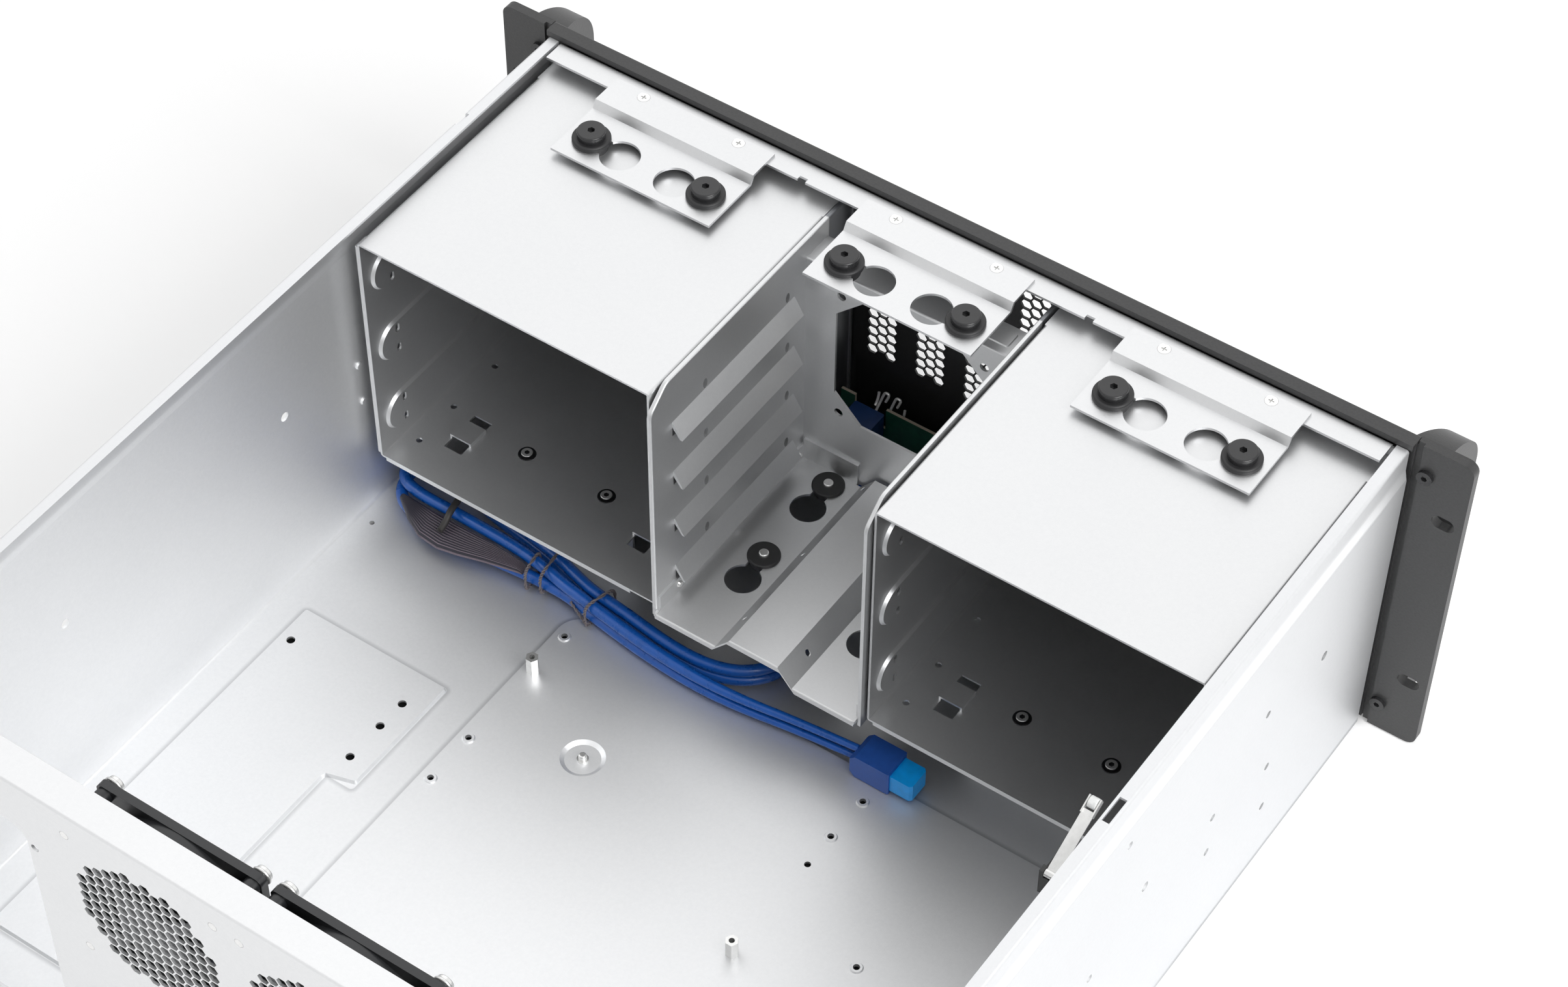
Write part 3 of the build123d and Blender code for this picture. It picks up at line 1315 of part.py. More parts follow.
def fan_frame(centre_x):
    """Frame with two flanges, a round duct and the motor struts at its rear."""
    corner_spots = [(centre_x + i * fan_hole_half, fan_z + j * fan_hole_half) for i in (-1, 1) for j in (-1, 1)]
    with BuildPart() as frame_part:
        for flange_y in (fan_front_y + fan_flange, pan_rear_y):
            with BuildSketch(across(flange_y)):
                with Locations((centre_x, fan_z)):
                    RectangleRounded(fan_size - 0.4, fan_size, 3.0)
            extrude(amount=fan_flange)
        with BuildSketch(across(pan_rear_y)):
            with Locations((centre_x, fan_z)):
                Circle(fan_duct_radius)
            with Locations(*corner_spots):
                Circle(3.6)
        extrude(amount=fan_depth)
        with BuildSketch(across(pan_rear_y + 1)):
            with Locations((centre_x, fan_z)):
                Circle(fan_bore_radius)
        extrude(amount=fan_depth + 2, mode=Mode.SUBTRACT)
        with BuildSketch(across(pan_rear_y)):
            with Locations((centre_x, fan_z)):
                Circle(fan_hub_radius)
                Rectangle(fan_strut_width, 2 * fan_bore_radius + 1, rotation=45)
                Rectangle(fan_strut_width, 2 * fan_bore_radius + 1, rotation=-45)
        extrude(amount=fan_strut_depth)
        with BuildSketch(across(pan_rear_y + 1)):
            with Locations(*corner_spots):
                Circle(fan_corner_screw_radius + 0.1)
        extrude(amount=fan_depth + 2, mode=Mode.SUBTRACT)
        with BuildSketch(across(pan_rear_y - fan_strut_depth)):
            with Locations((centre_x, fan_z)):
                Circle(2.0)
        extrude(amount=4.0)
    return frame_part.part


def blade_section(plane, turn):
    """Blade's cross section on a plane, turned about the rotor's axis."""
    middle = (fan_hub_radius + fan_blade_radius) / 2 - 1
    with BuildSketch(plane) as section:
        with Locations((middle * cos(radians(turn)), middle * sin(radians(turn)))):
            Rectangle(fan_blade_radius - fan_hub_radius + 3, fan_blade_thickness, rotation=turn)
    return section.sketch


def fan_rotor(centre_x):
    """Hub with swept blades, its bore round the motor's pin."""
    rotor_rear_y = pan_rear_y - fan_strut_depth - 0.4
    rotor_front_y = fan_front_y + fan_rotor_gap
    axis_plane = Plane(origin=(centre_x, rotor_rear_y, fan_z), x_dir=(1, 0, 0), z_dir=(0, -1, 0))
    length = rotor_rear_y - rotor_front_y
    with BuildPart() as rotor:
        with BuildSketch(axis_plane):
            Circle(fan_hub_radius - 0.5)
        extrude(amount=length)
        fillet(rotor.edges().group_by(Axis.Y)[0], 2.0)
        with BuildSketch(axis_plane):
            Circle(2.3)
        extrude(amount=4.2, mode=Mode.SUBTRACT)
        for index in range(fan_blade_count):
            turn = 360 / fan_blade_count * index
            loft([blade_section(axis_plane.offset(length * 0.12), turn),
                  blade_section(axis_plane.offset(length * 0.88), turn + fan_blade_sweep)])
    return rotor.part


for fan_x, fan_name in zip(fan_xs, fan_names):
    keep(fan_frame(fan_x), f"fan_frame_{fan_name}")
    keep(fan_rotor(fan_x), f"fan_rotor_{fan_name}")

with BuildPart() as guards:
    guard_y = fan_front_y - guard_gap - guard_wire / 2
    for fan_x in fan_xs:
        for ring_radius in guard_rings:
            with Locations(Location((fan_x, guard_y, fan_z), (90, 0, 0))):
                Torus(ring_radius, guard_wire / 2)
        for i, j in ((1, 1), (-1, 1)):
            run = fan_hole_half * 2
            angle = 45 * i * j
            with Locations(Location((fan_x, guard_y, fan_z), (0, angle, 0))):
                Cylinder(guard_wire / 2, run * 1.4142 - 8)
        for i in (-1, 1):
            for j in (-1, 1):
                spot = Location((fan_x + i * fan_hole_half, guard_y, fan_z + j * fan_hole_half), (90, 0, 0))
                with Locations(spot):
                    Torus(3.6, guard_wire / 2)
keep(guards.part, "finger_guards")

with BuildPart() as fan_screws:
    screw_seat_y = fan_front_y - guard_gap - guard_wire
    with BuildSketch(across(screw_seat_y)):
        with Locations(*fan_holes):
            Circle(fan_corner_head_radius)
    extrude(amount=fan_corner_head_height)
    fillet(fan_screws.edges().group_by(Axis.Y)[0], 0.6)
    with BuildSketch(across(screw_seat_y)):
        with Locations(*fan_holes):
            Circle(fan_corner_screw_radius)
    extrude(amount=-(guard_gap + guard_wire + fan_depth + sheet))
keep(fan_screws.part, "fan_screws")


# Cover switch near the right wall: holder, body, spring lever and roller

switch_top = switch_bottom + switch_size[2]
pivot_y = back(switch_back) + switch_size[1] / 2 - lever_start
pivot_z = switch_top + lever_eye_radius + 0.2
lever_slope = radians(lever_angle)
roller_y = pivot_y - lever_length * cos(lever_slope)
roller_z = pivot_z + lever_length * sin(lever_slope)

with BuildPart() as switch_body:
    switch_y = (back(switch_back) - switch_size[1] / 2, back(switch_back) + switch_size[1] / 2)
    add(slab((switch_x - switch_size[0] / 2, switch_x + switch_size[0] / 2), switch_y, (switch_bottom, switch_top)))
    chamfer(switch_body.edges().filter_by(Axis.Y).group_by(Axis.Z)[-1], 0.4)
    for side in (-1, 1):
        cheek = sorted((switch_x + side * (lever_width / 2 + 0.3), switch_x + side * (switch_size[0] / 2)))
        add(slab(cheek, (pivot_y - 1.8, pivot_y + lever_start), (switch_top - 0.5, pivot_z + 1.4)))
    with BuildSketch(along(switch_x - switch_size[0] / 2)):
        with Locations((pivot_y, pivot_z)):
            Circle(switch_pin_radius)
    extrude(amount=switch_size[0])
keep(switch_body.part, "switch_body")

with BuildPart() as lever:
    with BuildSketch(along(switch_x - lever_width / 2)):
        with Locations((pivot_y, pivot_z)):
            Circle(lever_eye_radius)
            Circle(lever_bore_radius, mode=Mode.SUBTRACT)
    extrude(amount=lever_width)
    arm_start = 1.3
    arm_end = lever_length - 4.0
    arm = Location((switch_x, pivot_y, pivot_z), (-lever_angle, 0, 0))
    with Locations(arm):
        with Locations((0, -(arm_start + arm_end) / 2, 0)):
            Box(lever_width, arm_end - arm_start, lever_thickness)
        for side in (-1, 1):
            with Locations((side * (roller_width / 2 + 0.6), -(arm_end + 2.4), 0)):
                Box(0.6, 7.4, 3.0)
        with Locations((0, -(arm_end + 0.1), 0)):
            Box(roller_width + 1.8, 1.2, lever_thickness)
        with Locations(Location((0, -lever_length, 0), (0, 90, 0))):
            Cylinder(roller_bore - 0.1, roller_width + 1.8)
keep(lever.part, "switch_lever")

with BuildPart() as roller:
    with BuildSketch(along(switch_x - roller_width / 2)):
        with Locations((roller_y, roller_z)):
            Circle(roller_radius)
            Circle(roller_bore, mode=Mode.SUBTRACT)
    extrude(amount=roller_width)
    fillet(roller.edges().filter_by(GeomType.CIRCLE).sort_by(SortBy.RADIUS)[-2:], 0.3)
keep(roller.part, "switch_roller")

with BuildPart() as holder:
    holder_x = switch_x - switch_size[0] / 2
    add(slab((holder_x - switch_holder, holder_x), (switch_y[0], switch_y[1]), (switch_bottom - 6, switch_top - 1)))
    add(slab((-wall_inner_x, holder_x), (switch_y[0], switch_y[1]),
             (switch_bottom - 6 - switch_holder, switch_bottom - 6)))
    add(slab((-wall_inner_x, -wall_inner_x + switch_holder), (switch_y[0], switch_y[1]),
             (switch_bottom - 16, switch_bottom - 6)))
keep(holder.part, "switch_holder")


# Front cables: a blue pair folded back under the cages, its connector, and the black ribbon hank

def spot(distance_from_left, distance_back, height):
    """Point of a cable route from the case's left face, front face and floor."""
    return (half_width - distance_from_left, back(distance_back), height)


loop_out = [
    (214, 127), (206, 142), (190, 150), (168, 151), (140, 147), (120, 145), (108, 141.6), (94, 137.6),
    (80, 134.8), (66, 132.8), (47, 129.5), (34, 122.5), (21, 117.5), (10.8, 121.5), (7, 132),
]
loop_back_lower = [(10.8, 144), (20.8, 150.5), (42, 152.8), (62, 152.5), (78, 151), (92, 149.8)]
loop_back_upper = [(10.6, 140.3), (20.8, 143.8), (42, 143.6), (62, 143.8), (78, 144.3), (94, 146.2)]
loop_end = [
    (108, 149.4), (120, 151.3), (134, 153.6), (160, 157), (186, 158.8), (210, 157.5), (238, 153.2), (266, 150.5),
]
tie_bottom = field_top + 0.2
cable_floor = tie_bottom + tie_base + cable_radius + 0.2
front_drop_one = [(183.5, 23, header_bottom), (183.6, 24, 27), (185, 29, 17.6), (188.5, 39, 11.5), (192.5, 53, 8.6),
                  (197, 69, 7.2), (204, 88, 6.4), (210, 108, 5.9)]
front_drop_two = [(177, 23, header_bottom), (177, 23.2, 26.8), (178.3, 27.9, 18), (180.6, 36.5, 12.9),
                  (185, 52, 12.6), (192, 70, 12.4), (200.5, 88, 12.2), (208.5, 108, 12)]
cable_one_route = ([spot(*point) for point in front_drop_one]
                   + [spot(u, v, cable_floor) for u, v in loop_out + loop_back_lower + loop_end])
cable_two_route = ([spot(*point) for point in front_drop_two]
                   + [spot(u, v, cable_floor + cable_stack) for u, v in loop_out + loop_back_upper + loop_end])
ribbon_lead_route = [spot(*point) for point in [
    (45.5, 158, 15.5), (45.2, 153.5, 16.3), (44.2, 148.6, 19), (43, 139, 19.5), (40.6, 132, 19.4),
    (39.3, 116, 18.7), (38.3, 104, 13), (37.3, 93, 7.6), (36.6, 80, 4.4),
    (37, 64, 3.7), (43, 47, 3.5), (57, 34, 3.6), (76, 26.5, 3.8), (98, 23.5, 4.2), (120, 23, 5), (142, 26, 6.4),
    (154, 30.5, 8.5), (164, 31, 11.5), (170, 26, 14), (171.5, 15.7, 16),
]]


def corner_radii(points):
    """Largest arc at each corner that its two runs allow."""
    radii = []
    for before, here, after in zip(points, points[1:], points[2:]):
        first = Vector(*here) - Vector(*before)
        second = Vector(*after) - Vector(*here)
        turn = radians(first.get_angle(second))
        radii.append(0.45 * min(first.length, second.length) / tan(turn / 2))
    return radii


def cable(points, radius):
    """Round tube along a route, with its arcs as large as its runs allow."""
    radii = corner_radii(points)
    with BuildPart() as tube:
        with BuildLine() as path:
            FilletPolyline(*points, radius=radii)
        with BuildSketch(Plane(origin=path.wires()[0] @ 0, z_dir=path.wires()[0] % 0)):
            Circle(radius)
        sweep(path=path.wires()[0])
    length = path.wires()[0].length
    print(f"cable of {length:.1f} mm, smallest radius {min(radii):.1f}, volume {tube.part.volume:.0f}, "
          f"section times length {3.14159 * radius ** 2 * length:.0f}")
    print("  radii " + " ".join(f"{value:.0f}" for value in radii))
    return tube.part


keep(cable(cable_one_route, cable_radius), "blue_cable_lower")
keep(cable(cable_two_route, cable_radius), "blue_cable_upper")
keep(cable(ribbon_lead_route, lead_radius), "ribbon_lead")

connector_x = half_width - 266
connector_y = back(150.5)
connector_bottom = field_top + 0.3
with BuildPart() as connector:
    add(slab((connector_x - 20, connector_x), (connector_y - 7.5, connector_y + 7.5),
             (connector_bottom, connector_bottom + 13.5)))
    chamfer(connector.edges().filter_by(Axis.Y).group_by(Axis.X)[-1], 3.0)
    fillet(connector.edges().filter_by(Axis.Z), 0.8)
keep(connector.part, "cable_connector")

with BuildPart() as connector_tip:
    add(slab((connector_x - 31, connector_x - 20), (connector_y - 6.2, connector_y + 6.2),
             (connector_bottom + 1.8, connector_bottom + 11.4)))
    chamfer(connector_tip.edges().filter_by(Axis.Z).group_by(Axis.X)[0], 1.2)
keep(connector_tip.part, "connector_tip")

ribbon_bottom = cable_floor + cable_radius + 0.3
with BuildPart() as ribbon:
    outline_points = [
        (14.5, 147.2), (48, 147), (70, 147.4), (88, 149.3), (88, 153.8), (69.2, 158), (57.4, 161.6), (47.4, 163.8),
        (36, 162.6), (26, 156.5), (18, 151),
    ]
    with BuildSketch(level(ribbon_bottom)) as ribbon_outline:
        Polygon(*[(half_width - u, back(v)) for u, v in outline_points], align=None)
        fillet(ribbon_outline.vertices(), 1.0)
    extrude(amount=ribbon_thickness)
    fillet(ribbon.edges().group_by(Axis.Z)[-1], 1.2)
keep(ribbon.part, "ribbon_hank")

with BuildPart() as ties:
    for tie_u, tie_v, tie_half in ((97, 144.1, 10.1), (126, 149, 8.2)):
        high = cable_floor + cable_stack + cable_radius + 0.2
        centre_y = back(tie_v)
        tie_x = (half_width - tie_u - tie_width / 2, half_width - tie_u + tie_width / 2)
        inner_half = tie_half - tie_thickness
        add(slab(tie_x, (centre_y - tie_half, centre_y + tie_half), (tie_bottom, high + tie_thickness)))
        add(slab((tie_x[0] - 1, tie_x[1] + 1), (centre_y - inner_half, centre_y + inner_half),
                 (tie_bottom + tie_base, high)), mode=Mode.SUBTRACT)
keep(ties.part, "cable_ties")
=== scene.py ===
import math

import bpy
import numpy as np
from mathutils import Matrix, Vector


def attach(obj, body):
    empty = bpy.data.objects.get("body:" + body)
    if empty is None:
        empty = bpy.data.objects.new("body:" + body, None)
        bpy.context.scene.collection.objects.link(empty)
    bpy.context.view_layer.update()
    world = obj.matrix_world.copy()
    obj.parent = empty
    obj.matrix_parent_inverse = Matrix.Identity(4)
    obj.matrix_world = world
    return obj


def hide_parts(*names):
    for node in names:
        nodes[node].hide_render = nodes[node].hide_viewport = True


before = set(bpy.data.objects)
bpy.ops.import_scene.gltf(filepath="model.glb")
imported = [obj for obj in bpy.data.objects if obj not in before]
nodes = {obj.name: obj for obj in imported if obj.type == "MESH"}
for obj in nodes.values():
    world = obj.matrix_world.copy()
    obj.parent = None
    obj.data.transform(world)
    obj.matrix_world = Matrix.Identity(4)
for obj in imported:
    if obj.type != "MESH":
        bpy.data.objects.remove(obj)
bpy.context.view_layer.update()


# The viewpoint: a long lens that looks down into the open case from above its rear corner on the -X side.
# The lens shift keeps the framing of a picture that was cropped out of a larger one.

view_place = (-0.5692, 0.7623, 1.2694)
view_bearing = math.radians(215.08)
view_height = math.radians(50.70)
view_roll = math.radians(-0.04)
backward = Vector((math.sin(view_bearing) * math.cos(view_height),
                   -math.cos(view_bearing) * math.cos(view_height),
                   math.sin(view_height)))
rightward = Vector((0, 0, 1)).cross(backward).normalized()
upward = backward.cross(rightward)
lens = bpy.data.cameras.new("lens")
lens.sensor_width = 36.0
lens.sensor_fit = "HORIZONTAL"
lens.lens = 85.39
lens.shift_x = 0.0237
lens.shift_y = 0.0942
lens.clip_start = 0.05
lens.clip_end = 20.0
viewer = bpy.data.objects.new("viewer", lens)
turn = Matrix((rightward, upward, backward)).transposed() @ Matrix.Rotation(view_roll, 3, "Z")
viewer.matrix_world = Matrix.Translation(view_place) @ turn.to_4x4()
bpy.context.scene.collection.objects.link(viewer)
bpy.context.scene.camera = viewer
bpy.context.scene.view_settings.view_transform = "Standard"


# Shader sums: a Signal is one output of a finish's graph, and arithmetic on it adds nodes.
# A Finish owns one material; node() adds any node, sets it up first and then fills its sockets.

class Signal:
    """One output socket. Sums with numbers or other signals become Math nodes."""

    def __init__(self, finish, socket):
        self.finish = finish
        self.socket = socket

    def _sum(self, operation, first, second):
        return self.finish.node("Math", {"operation": operation}, {0: first, 1: second})

    def __add__(self, other):
        return self._sum("ADD", self, other)

    __radd__ = __add__

    def __sub__(self, other):
        return self._sum("SUBTRACT", self, other)

    def __rsub__(self, other):
        return self._sum("SUBTRACT", other, self)

    def __mul__(self, other):
        return self._sum("MULTIPLY", self, other)

    __rmul__ = __mul__

    def over(self, low, high):
        """0 below low and 1 above high, smooth between."""
        return self.finish.node("MapRange", {"interpolation_type": "SMOOTHSTEP", "clamp": True},
                                {"Value": self, "From Min": low, "From Max": high})

    def axis(self, letter):
        """One coordinate of a position."""
        return self.finish.node("SeparateXYZ", {}, {0: self}, output="XYZ".index(letter))

    def size(self):
        """The value without its sign."""
        return self.finish.node("Math", {"operation": "ABSOLUTE"}, {0: self})


class Finish:
    """One material: node() adds a node, principled() closes the graph."""

    def __init__(self, name):
        self.material = bpy.data.materials.new(name)
        self.material.use_nodes = True
        self.tree = self.material.node_tree
        self.tree.nodes.clear()

    def node(self, kind, settings=None, sockets=None, output=0):
        """Node of one kind, with its settings set first and then its sockets filled or linked."""
        made = self.tree.nodes.new("ShaderNode" + kind)
        for key, value in (settings or {}).items():
            setattr(made, key, value)
        for key, value in (sockets or {}).items():
            if isinstance(value, Signal):
                self.tree.links.new(value.socket, made.inputs[key])
            else:
                made.inputs[key].default_value = value
        return Signal(self, made.outputs[output]) if len(made.outputs) else None

    def place(self):
        """Where the surface point is, in the object's own metres."""
        return self.node("TexCoord", output="Object")

    def noise(self, scale, detail=2.0, roughness=0.5):
        """Soft noise with that many waves to the metre."""
        return self.node("TexNoise", {}, {"Vector": self.place(), "Scale": scale, "Detail": detail,
                                          "Roughness": roughness})

    def blend(self, share, first, second):
        """Colour between two colours by a share."""
        return self.node("Mix", {"data_type": "RGBA"}, {"Factor": share, 6: first, 7: second}, output=2)

    def bump(self, height, strength, distance):
        """Normal of a surface raised by height."""
        return self.node("Bump", {}, {"Height": height, "Strength": strength, "Distance": distance})

    def principled(self, **sockets):
        """Close the graph with one Principled surface and give the material back."""
        named = {key.replace("_", " "): value for key, value in sockets.items()}
        surface = self.node("BsdfPrincipled", {}, named)
        self.node("OutputMaterial", {}, {"Surface": surface})
        return self.material


def coat(material, *names):
    """Give CAD nodes one finish in every slot."""
    for name in names:
        slots = nodes[name].data.materials
        slots.clear()
        slots.append(material)


# The studio: a pale floor that fades to plain white far away, with painted shade where the case covers it, a
# white surround that the camera and the metal see, as in a white tent, and two large soft lamps.

floor_half = 3.0
near_glow = 0.16
floor_finish = Finish("studio_floor")
floor_x = floor_finish.place().axis("X")
floor_y = floor_finish.place().axis("Y")
beside_case = (floor_x.size().over(0.20, 0.22) + floor_y.size().over(0.22, 0.24)).over(0.0, 1.0)
far_away = (floor_x * floor_x + floor_y * floor_y).over(0.4, 2.2)
floor_glow = floor_finish.node("Emission", {}, {
    "Color": (1, 1, 1, 1), "Strength": beside_case * near_glow + far_away * (1 - near_glow)})
# Painted shade: the floor is nearly black under the case and pale beside it.
floor_tone_and_shade = floor_finish.blend(beside_case, (0.02, 0.02, 0.02, 1), (0.93, 0.93, 0.93, 1))
floor_paint = floor_finish.node("BsdfDiffuse", {}, {
    "Color": floor_finish.blend(far_away, floor_tone_and_shade, (0, 0, 0, 1))})
floor_sum = floor_finish.node("AddShader", {}, {0: floor_glow, 1: floor_paint})
floor_finish.node("OutputMaterial", {}, {"Surface": floor_sum})
floor_mesh = bpy.data.meshes.new("studio_floor")
floor_corners = [(x * floor_half, y * floor_half, 0) for x, y in ((-1, -1), (1, -1), (1, 1), (-1, 1))]
floor_mesh.from_pydata(floor_corners, [], [(0, 1, 2, 3)])
floor_mesh.materials.append(floor_finish.material)
floor = bpy.data.objects.new("studio_floor", floor_mesh)
bpy.context.scene.collection.objects.link(floor)

world = bpy.data.worlds.new("studio")
bpy.context.scene.world = world
world.use_nodes = True
sky = world.node_tree
sky.nodes.clear()
paths = sky.nodes.new("ShaderNodeLightPath")
seen = sky.nodes.new("ShaderNodeMath")
seen.operation = "MAXIMUM"
sky.links.new(paths.outputs["Is Camera Ray"], seen.inputs[0])
sky.links.new(paths.outputs["Is Glossy Ray"], seen.inputs[1])
strength = sky.nodes.new("ShaderNodeMapRange")
strength.inputs["To Min"].default_value = 0.62
strength.inputs["To Max"].default_value = 1.0
sky.links.new(seen.outputs[0], strength.inputs["Value"])
glow = sky.nodes.new("ShaderNodeBackground")
glow.inputs["Color"].default_value = (1, 1, 1, 1)
sky.links.new(strength.outputs[0], glow.inputs["Strength"])
out = sky.nodes.new("ShaderNodeOutputWorld")
sky.links.new(glow.outputs[0], out.inputs["Surface"])


def soft_lamp(name, place, target, size, power):
    """Square soft lamp at a place, facing a target."""
    lamp = bpy.data.lights.new(name, "AREA")
    lamp.size = size
    lamp.energy = power
    holder = bpy.data.objects.new(name, lamp)
    holder.matrix_world = Matrix.Translation(place) @ (Vector(place) - Vector(target)).to_track_quat(
        "Z", "Y").to_matrix().to_4x4()
    bpy.context.scene.collection.objects.link(holder)


case_middle = (0, 0, 0.1)
soft_lamp("key_lamp", (-1.9, 0.5, 1.7), case_middle, 1.6, 47)
soft_lamp("sky_lamp", (1.2, -1.7, 2.55), case_middle, 3.2, 16)


# Zinc-coated sheet: the pan, cages, brackets and inner plates are cold-rolled sheet with a bright zinc coat.
# It is glossy but clouded, and a fine grain breaks up its reflections. Ranges are in metres from the origin.

def outline_distance(finish, x_range, y_range, corner):
    """Distance in metres from the outline of a rounded rectangle on the floor, negative inside it."""
    past = [(finish.place().axis(axis) - (low + high) / 2).size() - ((high - low) / 2 - corner)
            for axis, (low, high) in (("X", x_range), ("Y", y_range))]
    beyond = [finish.node("Math", {"operation": "MAXIMUM"}, {0: distance, 1: 0.0}) for distance in past]
    reach = finish.node("Math", {"operation": "SQRT"}, {0: beyond[0] * beyond[0] + beyond[1] * beyond[1]})
    deepest = finish.node("Math", {"operation": "MAXIMUM"}, {0: past[0], 1: past[1]})
    return reach + finish.node("Math", {"operation": "MINIMUM"}, {0: deepest, 1: 0.0}) - corner


pressed_rear = 0.217
field_outline = ((-0.197, 0.100), (-0.057, pressed_rear), 0.012)
wide_pad_outline = ((0.118, 0.198), (0.010, 0.077), 0.002)
long_pad_outline = ((0.132, 0.198), (0.010, pressed_rear), 0.002)


def pan_shade(zinc):
    """Share of painted shade on the pan: at the foot of the raised field and pad, before the cages, and on
    the top flanges and the outer right wall."""
    field = outline_distance(zinc, *field_outline)
    pad = zinc.node("Math", {"operation": "MINIMUM"}, {0: outline_distance(zinc, *wide_pad_outline),
                                                       1: outline_distance(zinc, *long_pad_outline)})
    # Painted shade: a dark line at the foot of each raised outline, a painted shadow on the floor before the
    # cages, and darkening on the top flanges and the outer right wall where these stand too bright in the
    # light.
    foot = sum((1 - outline.over(0.0, 0.0026)) * outline.over(-0.0004, 0.0002) for outline in (field, pad))
    x, y, z = (zinc.place().axis(letter) for letter in "XYZ")
    shadow_before_cages = (1 - y.over(-0.052, -0.005)) * (1 - x.over(0.19, 0.212))
    floor_only = 1 - z.over(0.0034, 0.006)
    outer_right_shade = 1 - x.over(-0.21495, -0.2147)
    high = z.over(0.160, 0.168)
    return floor_only * (foot * 0.38 + shadow_before_cages * 0.4) + (high + outer_right_shade).over(0.0, 1.0) * 0.3


def bay_shade(zinc):
    """Share of painted shade on the bay: the sheet is darkened inside the closed chamber in front of the fan
    plate.
    """
    chamber = (-0.1838, -0.1822)
    return (1 - zinc.place().axis("Y").over(*chamber)) * 1.35


def zinc_sheet(name, tone, gloss, metal, shade=None):
    """Clouded zinc: tone is its grey, gloss its mean roughness, metal its share of bare metal, and shade
    gives the share of painted shade by which it is darkened."""
    zinc = Finish(name)
    cloud = zinc.noise(9.0, 3.0)
    grain = zinc.noise(620.0, 2.0, roughness=0.7)
    speck = zinc.noise(1500.0, 1.0)
    share = cloud * 0.45 + grain * 0.4 + speck * 0.15
    dark = (tone * 0.88, tone * 0.89, tone * 0.905, 1)
    light = (tone * 1.08, tone * 1.085, tone * 1.09, 1)
    colour = zinc.blend(share, dark, light)
    # Painted shade: where shade gives a share, the colour darkens towards a third of the tone.
    if shade:
        colour = zinc.blend(shade(zinc), colour, (tone * 0.33, tone * 0.34, tone * 0.36, 1))
    return zinc.principled(
        Base_Color=colour, Metallic=metal,
        Roughness=gloss - 0.05 + cloud * 0.06 + grain * 0.05,
        Normal=zinc.bump(grain * 0.7 + speck * 0.3, 0.12, 0.0002))


# Painted shade: the cages, rear wall, brackets, front frame and bay plates are the pan's zinc sheet, given
# darker tones than the pan so that they stand less bright in the light.
coat(zinc_sheet("pan_zinc", 0.88, 0.50, 0.9, pan_shade), "chassis_pan")
coat(zinc_sheet("rear_zinc_shaded", 0.74, 0.46, 0.92), "rear_wall", "slot_covers")
cage_zinc_shaded = zinc_sheet("cage_zinc_shaded", 0.67, 0.42, 0.95)
coat(cage_zinc_shaded, "drive_cage_left", "drive_cage_right", "cage_support_left", "cage_support_right")
coat(zinc_sheet("bracket_zinc_shaded", 0.66, 0.36, 0.95), "keyhole_bracket_left", "keyhole_bracket_centre",
     "keyhole_bracket_right", "switch_holder", "front_frame")
coat(zinc_sheet("bay_zinc_shaded", 0.66, 0.42, 0.95, bay_shade), "centre_plate_left", "centre_plate_right",
     "centre_tray", "fan_plate")


# Front panel, ears, handles and vent sheet: steel and cast aluminium under a fine black powder coat.
# The coat has a tiny orange-peel texture and a dull sheen.

def powder_coat(name, tone, gloss):
    """Black powder coat with a fine raised grain."""
    powder = Finish(name)
    grain = powder.noise(900.0, 2.0)
    cloud = powder.noise(25.0, 2.0)
    colour = powder.blend(grain, (tone * 0.7, tone * 0.7, tone * 0.72, 1),
                          (tone * 1.4, tone * 1.4, tone * 1.42, 1))
    return powder.principled(Base_Color=colour, Roughness=gloss + cloud * 0.08,
                             Normal=powder.bump(grain, 0.25, 0.0002))


panel_coat = powder_coat("panel_coat", 0.03, 0.38)
coat(panel_coat, "front_panel", "rack_ear_left", "rack_ear_right", "handle_left", "handle_right")
coat(powder_coat("vent_coat", 0.012, 0.45), "vent_sheet")


# Moulded black parts: bay covers, buttons, fan frames and rotors, and the cover switch.
# They are satin plastic with a faint spark-eroded texture.

def moulded(name, colour, gloss, grain_scale=700.0):
    """Moulded plastic of one colour with a fine texture."""
    plastic = Finish(name)
    grain = plastic.noise(grain_scale, 2.0)
    low = tuple(channel * 0.82 for channel in colour) + (1,)
    high = tuple(min(1.0, channel * 1.15) for channel in colour) + (1,)
    return plastic.principled(Base_Color=plastic.blend(grain, low, high),
                              Roughness=gloss - 0.04 + grain * 0.08,
                              Normal=plastic.bump(grain, 0.12, 0.0001))


coat(moulded("cover_plastic", (0.022, 0.022, 0.024), 0.45), "bay_cover_left_1", "bay_cover_left_2",
     "bay_cover_left_3", "bay_cover_right_1", "bay_cover_right_2", "bay_cover_right_3", "power_button",
     "reset_button")
coat(moulded("fan_plastic", (0.02, 0.021, 0.023), 0.3), "fan_frame_left", "fan_frame_right", "fan_rotor_left",
     "fan_rotor_right")
coat(moulded("switch_plastic", (0.02, 0.02, 0.02), 0.35), "switch_body")
coat(moulded("roller_plastic", (0.75, 0.76, 0.75), 0.35), "switch_roller")


# Rubber grommets in the brackets and the tray, pressed into their keyholes so that cages don't buzz.
# The rubber is dull black with a slight bloom.

coat(moulded("grommet_rubber", (0.016, 0.016, 0.017), 0.48, 300.0), "bracket_grommets", "tray_grommets")


# Fasteners: bright nickel on the small screws, rivets, studs and guards, black oxide on the shoulder screws.
# The cages' floor screws are bright only on their head tops and carry painted shade, nearly black, below them
# in their dishes. Gloss is uneven from handling.

def plated(name, colour, gloss, metal=0.75):
    """Plated steel: metal with uneven gloss."""
    plate = Finish(name)
    wear = plate.noise(450.0, 2.0)
    worn = tuple(channel * 0.85 for channel in colour) + (1,)
    return plate.principled(Base_Color=plate.blend(wear, worn, colour + (1,)), Metallic=metal,
                            Roughness=gloss + wear * 0.12)


